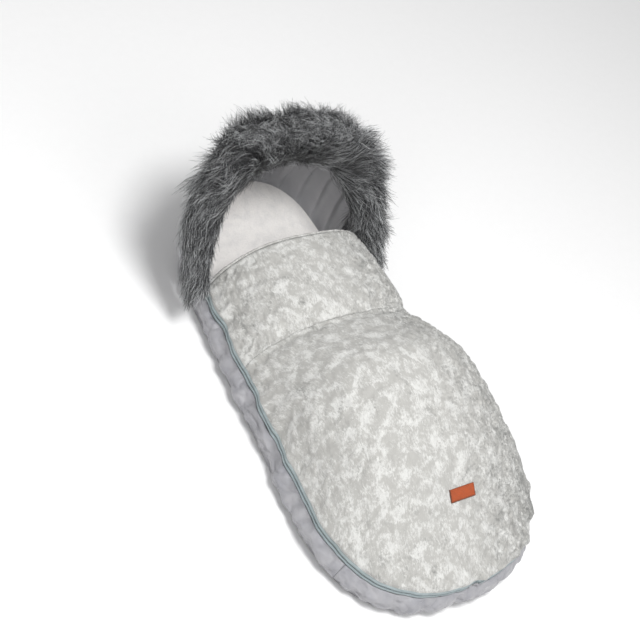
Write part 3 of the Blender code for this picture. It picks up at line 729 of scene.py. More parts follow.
def node(tree, kind, inputs=None, **settings):
    """Adds a shader node with its settings, values and links."""
    made = tree.nodes.new("ShaderNode" + kind)
    for name, value in settings.items():
        setattr(made, name, value)
    feed(made, inputs or {})
    return made


looks = {}


def look(maker):
    """The material named for a function, which adds its nodes and returns its shader's inputs."""
    if maker not in looks:
        looks[maker] = bpy.data.materials.new(maker.__name__)
        looks[maker].use_nodes = True
        tree = looks[maker].node_tree
        inputs = maker(partial(node, tree), bpy.context.scene.footmuff_colours)
        feed(tree.nodes["Principled BSDF"], inputs)
    return looks[maker]


def brushed_printed_canvas(add, colours):
    """Brushed polyester canvas, matt and a little fuzzy, with a worn print of frayed pale strokes."""
    flat = add("UVMap", uv_map="cloth")
    # Blots are about 25 mm across, and frayed by strokes 3 mm wide that run along the bag
    blots = add(
        "TexNoise", {"Vector": flat, "Scale": 40, "Detail": 5, "Roughness": 0.62, "Distortion": 0.5}
    )
    drawn = add("Mapping", {"Vector": flat, "Scale": (1, 0.4, 1)})
    strokes = add(
        "TexNoise", {"Vector": drawn, "Scale": 330, "Detail": 5, "Roughness": 0.8, "Distortion": 0.8}
    )
    worn = add("Math", {0: strokes, 1: 1.0, 2: blots}, operation="MULTIPLY_ADD")
    pale = add("MapRange", {"Value": worn, "From Min": 0.95, "From Max": 1.13, "To Max": 0.95})
    # Darker clouds of the print, with painted shade that darkens them further on the bag's right side
    clouds = add(
        "TexNoise",
        {"Vector": flat, "W": 4.0, "Scale": 27, "Detail": 4, "Roughness": 0.62, "Distortion": 0.6},
        noise_dimensions="4D",
    )
    across = add("SeparateXYZ", {"Vector": flat})
    rightward = add("MapRange", {"Value": across, "From Min": 0.0, "From Max": 0.2, "To Max": 0.17})
    inked = add("Math", {0: strokes, 1: -0.5, 2: clouds}, operation="MULTIPLY_ADD")
    # Painted shade: the print grows darker towards the bag's right side
    inked = add("Math", {0: inked, 1: rightward}, operation="ADD")
    dark = add("MapRange", {"Value": inked, "From Min": 0.34, "From Max": 0.56, "To Max": 0.9})
    # Thin dark lines 1 mm wide, mostly on the right as well: painted shade of fine creases, which are also
    # sunk as bumps
    veins = add(
        "TexNoise",
        {"Vector": flat, "W": 9.0, "Scale": 70, "Detail": 5, "Roughness": 0.72, "Distortion": 1.2},
        noise_dimensions="4D",
    )
    on_line = add("Math", {0: veins, 1: 0.5, 2: 0.016}, operation="COMPARE")
    # Furrows 15 mm apart, and fainter ones 34 mm apart across them, where the right side is pressed; they are
    # sunk as bumps and painted darker as their shade
    crossing = []
    for slant, spacing, kept in ((radians(58), 0.015, 0.0), (radians(118), 0.034, 0.45)):
        turned = add("Mapping", {"Vector": flat, "Rotation": (0, 0, slant)})
        waves = add(
            "TexWave",
            {
                "Vector": turned,
                "Scale": band_scale(spacing),
                "Distortion": 2.2,
                "Detail": 3,
                "Detail Scale": 2.0,
            },
            bands_direction="X",
        )
        crossing.append(add("MapRange", {"Value": waves.outputs["Fac"], "From Max": 0.14, "To Min": kept}))
    furrows = add("Math", {0: crossing[0], 1: crossing[1]}, operation="MULTIPLY")
    pressed = add("MapRange", {"Value": rightward, "From Max": 0.16, "To Min": 0.05, "To Max": 0.5})
    lines = add("Math", {0: furrows, 1: -1.0, 2: 1.0}, operation="MULTIPLY_ADD")
    lines = add("Math", {0: lines, 1: on_line}, operation="MAXIMUM")
    cracked = add("Math", {0: lines, 1: pressed}, operation="MULTIPLY")
    depth = add("Math", {0: cracked, 1: -1.0}, operation="MULTIPLY")
    colour = add(
        "Mix", {"Factor": dark, "A": colours.print_ground, "B": colours.print_dark}, data_type="RGBA"
    )
    colour = add("Mix", {"Factor": pale, "A": colour, "B": colours.print_light}, data_type="RGBA")
    # Painted shade in the furrows and fine creases, in the dark print colour
    colour = add("Mix", {"Factor": cracked, "A": colour, "B": colours.print_dark}, data_type="RGBA")
    # Threads are 0.5 mm apart and drawn at 1.4 mm, so that they show
    warp = add("TexWave", {"Vector": flat, "Scale": band_scale(0.0014)}, bands_direction="X")
    weft = add("TexWave", {"Vector": flat, "Scale": band_scale(0.0014)}, bands_direction="Y")
    threads = add("Math", {0: warp.outputs["Fac"], 1: weft.outputs["Fac"]}, operation="MAXIMUM")
    shade = add("MapRange", {"Value": threads, "To Min": 1.0, "To Max": 0.93})
    colour = add("Mix", {"Factor": 1.0, "A": colour, "B": shade}, data_type="RGBA", blend_type="MULTIPLY")
    crinkle = add(
        "TexNoise",
        {"Vector": drawn, "W": 7.0, "Scale": 150, "Detail": 4, "Roughness": 0.6, "Distortion": 1.0},
        noise_dimensions="4D",
    )
    bump = add("Bump", {"Height": threads, "Distance": 0.00015})
    bump = add("Bump", {"Height": crinkle, "Distance": 0.0018, "Normal": bump})
    bump = add("Bump", {"Height": depth, "Distance": 0.0016, "Normal": bump})
    values = {"Roughness": 0.85, "Sheen Weight": 0.2, "Sheen Roughness": 0.5}
    return values | {"Base Color": colour, "Normal": bump}


def satin_woven_polyester(add, colours):
    """Satin-woven polyester: smooth and softly lustrous, with fine crinkles where it is sewn."""
    flat = add("UVMap", uv_map="cloth")
    tone = add("TexNoise", {"Vector": flat, "Scale": 22, "Detail": 3, "Roughness": 0.6})
    faded = add("MapRange", {"Value": tone, "From Min": 0.3, "From Max": 0.7, "To Max": 0.22})
    colour = add("Mix", {"Factor": faded, "A": colours.shell, "B": colours.fleece}, data_type="RGBA")
    # Twill lines are drawn 1.4 mm apart, as the real 0.4 mm ones are too fine to show
    slanted = add("Mapping", {"Vector": flat, "Rotation": (0, 0, radians(45))})
    twill = add("TexWave", {"Vector": slanted, "Scale": band_scale(0.0014)}, bands_direction="X")
    shade = add("MapRange", {"Value": twill.outputs["Fac"], "To Min": 1.0, "To Max": 0.93})
    colour = add("Mix", {"Factor": 1.0, "A": colour, "B": shade}, data_type="RGBA", blend_type="MULTIPLY")
    crinkle = add(
        "TexNoise",
        {"Vector": flat, "W": 4.0, "Scale": 90, "Detail": 4, "Roughness": 0.6, "Distortion": 0.8},
        noise_dimensions="4D",
    )
    bump = add("Bump", {"Height": twill.outputs["Fac"], "Distance": 0.0001})
    bump = add("Bump", {"Height": crinkle, "Distance": 0.0014, "Normal": bump})
    values = {"Roughness": 0.45, "Sheen Weight": 0.3, "Sheen Roughness": 0.35}
    return values | {"Base Color": colour, "Normal": bump}


def short_pile_fleece(add, colours):
    """Short-pile polyester fleece: matt and soft, with 3 mm tufts and faint grey streaks painted as the shade
    of fine creases.
    """
    flat = add("UVMap", uv_map="cloth")
    tufts = add("TexNoise", {"Vector": flat, "Scale": 330, "Detail": 3, "Roughness": 0.7})
    marks = add(
        "TexNoise",
        {"Vector": flat, "W": 6.0, "Scale": 26, "Detail": 4, "Roughness": 0.6, "Distortion": 1.5},
        noise_dimensions="4D",
    )
    brushed = add("MapRange", {"Value": marks, "From Min": 0.45, "From Max": 0.7, "To Max": 0.3})
    # Painted shade: grey streaks where fine creases would shade the fleece
    colour = add("Mix", {"Factor": brushed, "A": colours.fleece, "B": colours.lining}, data_type="RGBA")
    shade = add(
        "MapRange", {"Value": tufts, "From Min": 0.3, "From Max": 0.7, "To Min": 0.9, "To Max": 1.0}
    )
    colour = add("Mix", {"Factor": 1.0, "A": colour, "B": shade}, data_type="RGBA", blend_type="MULTIPLY")
    soft = add("TexNoise", {"Vector": flat, "Scale": 60, "Detail": 2})
    bump = add("Bump", {"Height": tufts, "Distance": 0.001})
    bump = add("Bump", {"Height": soft, "Distance": 0.0018, "Normal": bump})
    values = {"Roughness": 0.95, "Sheen Weight": 0.5, "Sheen Roughness": 0.6}
    return values | {"Base Color": colour, "Normal": bump}


def plain_woven_lining(add, colours):
    """Plain-woven polyester lining: thin and smooth, with soft crinkles."""
    flat = add("UVMap", uv_map="cloth")
    tone = add("TexNoise", {"Vector": flat, "Scale": 30, "Detail": 3, "Roughness": 0.6})
    faded = add("MapRange", {"Value": tone, "From Min": 0.3, "From Max": 0.7, "To Max": 0.25})
    colour = add("Mix", {"Factor": faded, "A": colours.lining, "B": colours.shell}, data_type="RGBA")
    # Threads 0.3 mm apart are drawn at 1.2 mm
    warp = add("TexWave", {"Vector": flat, "Scale": band_scale(0.0012)}, bands_direction="X")
    weft = add("TexWave", {"Vector": flat, "Scale": band_scale(0.0012)}, bands_direction="Y")
    threads = add("Math", {0: warp.outputs["Fac"], 1: weft.outputs["Fac"]}, operation="MAXIMUM")
    shade = add("MapRange", {"Value": threads, "To Min": 1.0, "To Max": 0.94})
    colour = add("Mix", {"Factor": 1.0, "A": colour, "B": shade}, data_type="RGBA", blend_type="MULTIPLY")
    crinkle = add(
        "TexNoise",
        {"Vector": flat, "W": 3.0, "Scale": 90, "Detail": 3, "Roughness": 0.6, "Distortion": 0.5},
        noise_dimensions="4D",
    )
    bump = add("Bump", {"Height": threads, "Distance": 0.0001})
    bump = add("Bump", {"Height": crinkle, "Distance": 0.0009, "Normal": bump})
    values = {"Roughness": 0.6, "Sheen Weight": 0.25, "Sheen Roughness": 0.4}
    return values | {"Base Color": colour, "Normal": bump}


def herringbone_polyester_tape(add, colours):
    """Herringbone-woven polyester tape: matt, ribbed and slightly uneven in tone."""
    flat = add("UVMap", uv_map="cloth")
    # Ribs are drawn 1.2 mm apart, three times as coarse as the real ones
    slanted = add("Mapping", {"Vector": flat, "Rotation": (0, 0, radians(38))})
    ribs = add("TexWave", {"Vector": slanted, "Scale": band_scale(0.0012)}, bands_direction="X")
    tone = add("TexNoise", {"Vector": flat, "Scale": 80, "Detail": 2, "Roughness": 0.6})
    faded = add("MapRange", {"Value": tone, "From Min": 0.3, "From Max": 0.7, "To Max": 0.4})
    colour = add("Mix", {"Factor": faded, "A": colours.tape, "B": colours.coil}, data_type="RGBA")
    shade = add("MapRange", {"Value": ribs.outputs["Fac"], "To Min": 1.0, "To Max": 0.82})
    colour = add("Mix", {"Factor": 1.0, "A": colour, "B": shade}, data_type="RGBA", blend_type="MULTIPLY")
    bump = add("Bump", {"Height": ribs.outputs["Fac"], "Distance": 0.0002})
    values = {"Roughness": 0.7, "Sheen Weight": 0.2, "Sheen Roughness": 0.4}
    return values | {"Base Color": colour, "Normal": bump}


def nylon_monofilament(add, colours):
    """Coiled nylon monofilament, extruded: smooth, slightly glossy and a little translucent to the eye."""
    place = add("TexCoord").outputs["Object"]
    tone = add("TexNoise", {"Vector": place, "Scale": 250, "Detail": 2})
    faded = add("MapRange", {"Value": tone, "From Min": 0.3, "From Max": 0.7, "To Max": 0.6})
    colour = add("Mix", {"Factor": faded, "A": colours.coil, "B": colours.tape}, data_type="RGBA")
    scuffs = add("TexNoise", {"Vector": place, "Scale": 900, "Detail": 2})
    bump = add("Bump", {"Height": scuffs, "Distance": 0.0001})
    return {"Roughness": 0.38, "IOR": 1.53, "Base Color": colour, "Normal": bump}


def twisted_polyester_thread(add, colours):
    """Twisted polyester sewing thread: a slight sheen and twist lines."""
    place = add("TexCoord").outputs["Object"]
    # The real twist of 0.4 mm is drawn at 0.9 mm
    slanted = add("Mapping", {"Vector": place, "Rotation": (0, 0, radians(50))})
    twist = add("TexWave", {"Vector": slanted, "Scale": band_scale(0.0009)}, bands_direction="X")
    lit = add("MapRange", {"Value": twist.outputs["Fac"], "To Max": 0.5})
    colour = add("Mix", {"Factor": lit, "A": colours.thread, "B": colours.coil}, data_type="RGBA")
    bump = add("Bump", {"Height": twist.outputs["Fac"], "Distance": 0.0001})
    return {"Roughness": 0.6, "Sheen Weight": 0.2, "Base Color": colour, "Normal": bump}


def waxed_brown_thread(add, colours):
    """Waxed brown thread of the label's stitches: darker in the twist."""
    place = add("TexCoord").outputs["Object"]
    twist = add("TexWave", {"Vector": place, "Scale": band_scale(0.0009)}, bands_direction="DIAGONAL")
    lit = add("MapRange", {"Value": twist.outputs["Fac"], "To Max": 0.55})
    colour = add("Mix", {"Factor": lit, "A": colours.leather_edge, "B": colours.leather}, data_type="RGBA")
    bump = add("Bump", {"Height": twist.outputs["Fac"], "Distance": 0.0001})
    return {"Roughness": 0.5, "Base Color": colour, "Normal": bump}


def vegetable_tanned_leather(add, colours):
    """Vegetable-tanned cowhide, dyed tan and waxed: fine pebbled grain, darker burnished edges."""
    flat = add("UVMap", uv_map="cloth")
    # Grain cells are 0.9 mm across and drawn at 1.5 mm
    cells = add("TexVoronoi", {"Vector": flat, "Scale": 1 / 0.0015}, feature="DISTANCE_TO_EDGE")
    grain = add("MapRange", {"Value": cells, "From Max": 0.25})
    mottle = add("TexNoise", {"Vector": flat, "Scale": 120, "Detail": 4, "Roughness": 0.6})
    worn = add("MapRange", {"Value": mottle, "From Min": 0.35, "From Max": 0.75, "To Max": 0.3})
    colour = add("Mix", {"Factor": worn, "A": colours.leather, "B": colours.leather_edge}, data_type="RGBA")
    rim = add("Attribute", attribute_name="edge").outputs["Fac"]
    burnished = add("MapRange", {"Value": rim, "From Min": 0.15, "To Max": 0.85})
    colour = add("Mix", {"Factor": burnished, "A": colour, "B": colours.leather_edge}, data_type="RGBA")
    shade = add("MapRange", {"Value": grain, "To Min": 0.8, "To Max": 1.0})
    colour = add("Mix", {"Factor": 1.0, "A": colour, "B": shade}, data_type="RGBA", blend_type="MULTIPLY")
    bump = add("Bump", {"Height": grain, "Distance": 0.00015})
    bump = add("Bump", {"Height": mottle, "Distance": 0.0004, "Normal": bump})
    values = {"Roughness": 0.55, "Coat Weight": 0.06, "Coat Roughness": 0.4}
    return values | {"Base Color": colour, "Normal": bump}


def satin_nickel_plate(add, colours):
    """Die-cast zinc plated in satin nickel: soft gloss with fine rubbing marks along it."""
    place = add("TexCoord").outputs["Object"]
    tone = add("TexNoise", {"Vector": place, "Scale": 330, "Detail": 3, "Roughness": 0.6})
    dulled = add("MapRange", {"Value": tone, "From Min": 0.35, "From Max": 0.7, "To Max": 0.4})
    colour = add("Mix", {"Factor": dulled, "A": colours.nickel, "B": colours.lining}, data_type="RGBA")
    gloss = add(
        "MapRange", {"Value": tone, "From Min": 0.3, "From Max": 0.7, "To Min": 0.24, "To Max": 0.42}
    )
    rubbed = add("Mapping", {"Vector": place, "Scale": (1, 0.08, 1)})
    marks = add("TexNoise", {"Vector": rubbed, "Scale": 1600, "Detail": 2, "Roughness": 0.6})
    bump = add("Bump", {"Height": marks, "Distance": 0.00003})
    return {"Metallic": 1.0, "Roughness": gloss, "Base Color": colour, "Normal": bump}


def acrylic_long_pile(add, colours):
    """Acrylic long pile: nearly black at the backing, grey along the hair, some hairs silver to the tip."""
    pile = add("Attribute", attribute_name="pile").outputs["Color"]
    parts = add("SeparateColor", {"Color": pile})
    along, lock, hair = (parts.outputs[name] for name in ("Red", "Green", "Blue"))
    grown = add("MapRange", {"Value": along, "From Min": 0.12, "From Max": 0.7})
    colour = add(
        "Mix", {"Factor": grown, "A": colours.pile_root, "B": colours.pile_middle}, data_type="RGBA"
    )
    pale = add("Math", {0: lock, 1: 0.5, 2: hair}, operation="MULTIPLY_ADD")
    pale = add("MapRange", {"Value": pale, "From Min": 0.85, "From Max": 1.1})
    tipped = add("MapRange", {"Value": along, "From Min": 0.2, "From Max": 0.7})
    silver = add("Math", {0: pale, 1: tipped}, operation="MULTIPLY")
    colour = add("Mix", {"Factor": silver, "A": colour, "B": colours.pile_tip}, data_type="RGBA")
    shade = add(
        "MapRange", {"Value": hair, "From Min": 0.2, "From Max": 0.55, "To Min": 0.25, "To Max": 1.0}
    )
    colour = add("Mix", {"Factor": 1.0, "A": colour, "B": shade}, data_type="RGBA", blend_type="MULTIPLY")
    return {"Roughness": 0.5, "Sheen Weight": 0.2, "Sheen Roughness": 0.4, "Base Color": colour}


def knitted_pile_backing(add, colours):
    """Knitted backing that the long pile grows from: dark, matt and tufted."""
    place = add("TexCoord").outputs["Object"]
    tufts = add("TexNoise", {"Vector": place, "Scale": 250, "Detail": 3, "Roughness": 0.7})
    lit = add("MapRange", {"Value": tufts, "From Min": 0.3, "From Max": 0.75, "To Max": 0.4})
    colour = add("Mix", {"Factor": lit, "A": colours.pile_root, "B": colours.pile_middle}, data_type="RGBA")
    bump = add("Bump", {"Height": tufts, "Distance": 0.0015})
    return {"Roughness": 0.95, "Base Color": colour, "Normal": bump}


def seamless_matt_paper(add, colours):
    """Seamless matt paper of the studio floor, with its faint fibre."""
    place = add("TexCoord").outputs["Object"]
    fibre = add("TexNoise", {"Vector": place, "Scale": 50, "Detail": 3, "Roughness": 0.6})
    faint = add("MapRange", {"Value": fibre, "From Min": 0.3, "From Max": 0.7, "To Max": 0.03})
    colour = add("Mix", {"Factor": faint, "A": colours.floor, "B": colours.lining}, data_type="RGBA")
    return {"Roughness": 0.9, "Base Color": colour}


class FootmuffOperator(bpy.types.Operator):
    """Shared settings of the operators"""

    bl_options = {"REGISTER", "UNDO"}

    def execute(self, context):
        self.build(context.scene.footmuff_sizes)
        return {"FINISHED"}


class FOOTMUFF_OT_stage(FootmuffOperator):
    """Make the floor, the lamps and the camera at the photograph's angle"""

    bl_idname = "footmuff.stage"
    bl_label = "Stage"

    floor_half = 4.0
    camera_azimuth = radians(-58.28)
    camera_elevation = radians(43.10)
    camera_roll = radians(34.88)
    camera_distance = 2.699
    camera_target = Vector((-0.0062, 0.10466, 0.085))
    focal_pixels = 1531.3
    picture_pixels = 640
    sensor = 36.0
    # (name, place, aim, size, watts)
    lamps = (
        ("key", (-0.3, -0.7, 3.2), (0, 0.05, 0.1), 1.3, 80),
        ("front", (0.2, -2.2, 2.4), (0, 0.0, 0.1), 1.6, 12),
        ("fill", (-2.4, -1.0, 1.8), (0, 0, 0.1), 1.6, 15),
    )
    world_strength = 0.34

    def build(self, sizes):
        bm = bmesh.new()
        bmesh.ops.create_grid(bm, x_segments=1, y_segments=1, size=self.floor_half)
        bmesh.ops.translate(bm, verts=bm.verts[:], vec=(0, -bag_foot, -gap))
        floor = placed("floor", finished(bm, "floor"))
        floor.data.materials.append(look(seamless_matt_paper))
        for name, place, aim, size, watts in self.lamps:
            lamp = bpy.data.lights.new(name, "AREA")
            lamp.shape = "DISK"
            lamp.size = size
            lamp.energy = watts
            holder = placed(name, lamp)
            holder.location = place
            holder.rotation_euler = (Vector(aim) - Vector(place)).to_track_quat("-Z", "Y").to_euler()
        self.light_world()
        self.place_camera()
        bpy.context.scene.view_settings.view_transform = "Standard"

    def light_world(self):
        world = bpy.data.worlds.new("studio")
        bpy.context.scene.world = world
        world.use_nodes = True
        tree = world.node_tree
        add = partial(node, tree)
        lit = tree.nodes["Background"]
        feed(lit, {"Color": (1, 1, 1), "Strength": self.world_strength})
        shown = add("Background", {"Color": (1, 1, 1), "Strength": 1.0})
        rays = add("LightPath").outputs
        seen = add("Math", {0: rays["Is Camera Ray"], 1: rays["Is Glossy Ray"]}, operation="MAXIMUM")
        seen = add("Math", {0: seen, 1: rays["Is Transmission Ray"]}, operation="MAXIMUM")
        mix = add("MixShader", {0: seen, 1: lit, 2: shown})
        feed(tree.nodes["World Output"], {"Surface": mix})

    def place_camera(self):
        lens = bpy.data.cameras.new("camera")
        lens.sensor_width = self.sensor
        lens.lens = self.focal_pixels * self.sensor / self.picture_pixels
        camera = placed("camera", lens)
        turn, rise = self.camera_azimuth, self.camera_elevation
        back = Vector((sin(turn) * cos(rise), -cos(turn) * cos(rise), sin(rise)))
        right = (-back).cross(Vector((0, 0, 1))).normalized()
        up = right.cross(-back)
        rolled_right = right * cos(self.camera_roll) + up * sin(self.camera_roll)
        rolled_up = up * cos(self.camera_roll) - right * sin(self.camera_roll)
        place = Matrix((rolled_right, rolled_up, back)).transposed().to_4x4()
        place.translation = self.camera_target + back * self.camera_distance
        camera.matrix_world = place
        bpy.context.scene.camera = camera


def plan_point(u, v, inset, foot_end=radians(88)):
    """Point of the bag's whole plan, v from the foot to the head, with rows close together at the ends."""
    foot_part, head_part = 0.24, 0.80
    if v < foot_part:
        half_width, y = foot_row(foot_end * (1 - v / foot_part), inset)
    elif v < head_part:
        run = (straight_length - foot_round_length) * (v - foot_part)
        y = foot_round_length + run / (head_part - foot_part)
        half_width = straight_half_width(y) - inset
    else:
        half_width, y = head_row(foot_end * (v - head_part) / (1 - head_part), inset)
    return half_width * sin(pi / 2 * (2 * u - 1)), y


def slot_places():
    """(name, x, y) of the middle of each harness slot."""
    shoulder = lower_cover_length + shoulder_slot_past_seam
    return (
        ("shoulder_left", -shoulder_slot_half_spacing, shoulder),
        ("shoulder_right", shoulder_slot_half_spacing, shoulder),
        ("waist_left", -waist_slot_half_spacing, waist_slot_from_foot),
        ("waist_right", waist_slot_half_spacing, waist_slot_from_foot),
        ("crotch", 0.0, crotch_slot_from_foot),
    )


def faces_near(bm, x, y, across, along):
    """The faces whose middles lie within the two distances of (x, y)."""
    middles = [(face, face.calc_center_median()) for face in bm.faces]
    return [face for face, at in middles if abs(at.x - x) < across and abs(at.y - y) < along]


def slotted_slab(name, cells, inset, lower, upper):
    """A layer of the back over its plan, from lower(x, y) to upper(x, y), with the harness slots cut."""
    columns, rows = cells
    bm = bmesh.new()
    bmesh.ops.create_grid(bm, x_segments=columns, y_segments=rows, size=0.5)
    for vertex in bm.verts:
        x, y = plan_point(vertex.co.x + 0.5, vertex.co.y + 0.5, inset)
        vertex.co = (x, y, 0)
    for _, x, y in slot_places():
        for edge in (-1, 1):
            cuts = (
                ((x + edge * slot_length / 2, y, 0), (1, 0, 0)),
                ((x, y + edge * slot_width / 2, 0), (0, 1, 0)),
            )
            for point, normal in cuts:
                near = faces_near(bm, x, y, slot_length, slot_length)
                geometry = list({item for face in near for item in (*face.verts, *face.edges, face)})
                bmesh.ops.bisect_plane(bm, geom=geometry, dist=1e-7, plane_co=point, plane_no=normal)
        inside = faces_near(bm, x, y, slot_length / 2, slot_width / 2)
        bmesh.ops.delete(bm, geom=inside, context="FACES")
    far = raised_copy(bm)
    lay_flat(bm)
    for vertex in bm.verts:
        x, y = vertex.co.xy
        vertex.co.z = lower(x, y) if vertex in far else upper(x, y)
    bmesh.ops.recalc_face_normals(bm, faces=bm.faces[:])
    return finished(bm, name)


class FOOTMUFF_OT_back(FootmuffOperator):
    """Make the underside cloth, the padded fleece back and the bound harness slots"""

    bl_idname = "footmuff.back"
    bl_label = "Back"

    pad_cells = (120, 190)
    cloth_cells = (60, 130)
    edge_fade = 0.030
    slot_fade = 0.018
    head_swell = 0.0060
    # Depth of the pad's rounded edge, and the heights of its broad and its fine waves
    edge_sink = 0.004
    broad_wave = 0.0016
    fine_wave = 0.0007
    binding_thickness = 0.0016
    thread_thickness = 0.0008

    def build(self, sizes):
        inset = gusset_stack + wall_gap

        def soften(x, y):
            """0 at the pad's edge and at a slot, 1 away from them."""
            half_width = straight_half_width(max(y, foot_round_length)) - inset
            edge = 1 - outness(x, y) if y < straight_length else 0.3
            if y > straight_length:
                out = hypot(x / half_width, (y - straight_length) / head_round_length)
                edge = 1 - min(out, 1.0)
            share = ease(edge * half_width / self.edge_fade)
            for _, slot_x, slot_y in slot_places():
                beside = max(0, abs(x - slot_x) - slot_length / 2)
                beyond = max(0, abs(y - slot_y) - slot_width / 2)
                share *= ease(hypot(beside, beyond) / self.slot_fade)
            return share

        def top(x, y):
            share = soften(x, y)
            swell = self.head_swell * ease((y - lower_cover_length) / flap_length) * share
            wave = self.broad_wave * ripple(x, y, 0, 0.085, 3.0)
            wave += self.fine_wave * ripple(x, y, 0, 0.028, 7.0)
            sunk = (1 - ease((1 - outness(x, min(y, straight_length))) * 8)) * self.edge_sink
            return lining_top(y) + swell + wave * share - (sunk if y < straight_length else 0)

        pad = slotted_slab("back_pad", self.pad_cells, inset, lambda x, y: padding_bottom(y), top)
        piece = add_piece(pad, short_pile_fleece, "shell", "fleece", "back_fleece", "back_padding")
        low, high = (lambda x, y: curl(y)), (lambda x, y: curl(y) + cloth)
        under = slotted_slab("back_cloth", self.cloth_cells, gap, low, high)
        piece = add_piece(under, satin_woven_polyester, "shell", "lilac_grey_cloth", "back_outer")
        declare_sheet(piece)
        for name, x, y in slot_places():
            self.bind_slot(name, x, y, sizes)

    def bind_slot(self, name, x, y, sizes):
        bm = bmesh.new()
        width = slot_length + 2 * slot_binding_width
        depth = slot_width + 2 * slot_binding_width
        middle = Vector((x, y, lining_top(y) + gap))
        size = Matrix.LocRotScale(middle, None, (width, depth, 1))
        bmesh.ops.create_grid(bm, x_segments=1, y_segments=1, size=0.5, matrix=size)
        hole = bm.faces[:]
        bmesh.ops.inset_region(bm, faces=hole, thickness=slot_binding_width, use_boundary=True)
        bmesh.ops.delete(bm, geom=hole, context="FACES_ONLY")
        lifted = raised_copy(bm)
        bmesh.ops.translate(bm, verts=list(lifted), vec=(0, 0, self.binding_thickness))
        bmesh.ops.recalc_face_normals(bm, faces=bm.faces[:])
        top = [edge for edge in bm.edges if lifted.issuperset(edge.verts) and edge.calc_face_angle(0) > 1]
        corners = [edge for edge in bm.edges if abs(edge.verts[0].co.z - edge.verts[1].co.z) > gap]
        bmesh.ops.bevel(
            bm,
            geom=top + corners,
            offset=self.binding_thickness / 2,
            segments=3,
            profile=0.5,
            affect="EDGES",
            material=-1,
            clamp_overlap=True,
        )
        lay_flat(bm)
        binding = finished(bm, f"slot_frame_{name}")
        add_piece(binding, herringbone_polyester_tape, "shell", "blue_grey_tape", f"slot_binding_{name}")

        height = lining_top(y) + gap + self.binding_thickness
        half_length = slot_length / 2 + slot_binding_width / 2
        half_width = slot_width / 2 + slot_binding_width / 2
        spacing = sizes.stitch_length * 1.35
        places = []
        for way in (-1, 1):
            for along in stitch_row(half_length, spacing):
                places.append(Matrix.Translation((x + along, y + way * half_width, height)))
            for along in stitch_row(half_width, spacing):
                place = Matrix.Translation((x + way * half_length, y + along, height))
                places.append(place @ Matrix.Rotation(pi / 2, 4, "Z"))
        size = (sizes.stitch_length, self.thread_thickness, self.thread_thickness)
        mesh = beads(f"slot_stitches_{name}", places, size)
        add_piece(mesh, twisted_polyester_thread, "shell", "blue_grey_tape")


def dense_run(side, first, last, spacing, steps=600):
    """(points, outward normals, lengths along) of the outline between two shares, evenly spaced."""
    shares = np.linspace(first, last, steps)
    found = [outline_point(side, share) for share in shares]
    points = np.array([point for point, _ in found])
    normals = np.array([normal for _, normal in found])
    lengths = np.concatenate([[0], np.cumsum(np.linalg.norm(np.diff(points, axis=0), axis=1))])
    count = max(2, 2 * round(lengths[-1] / spacing / 2))
    wanted = np.linspace(0, lengths[-1], count + 1)
    points, normals = (
        np.stack([np.interp(wanted, lengths, values[:, k]) for k in range(3)], axis=1)
        for values in (points, normals)
    )
    return points, normals / np.linalg.norm(normals, axis=1, keepdims=True), wanted


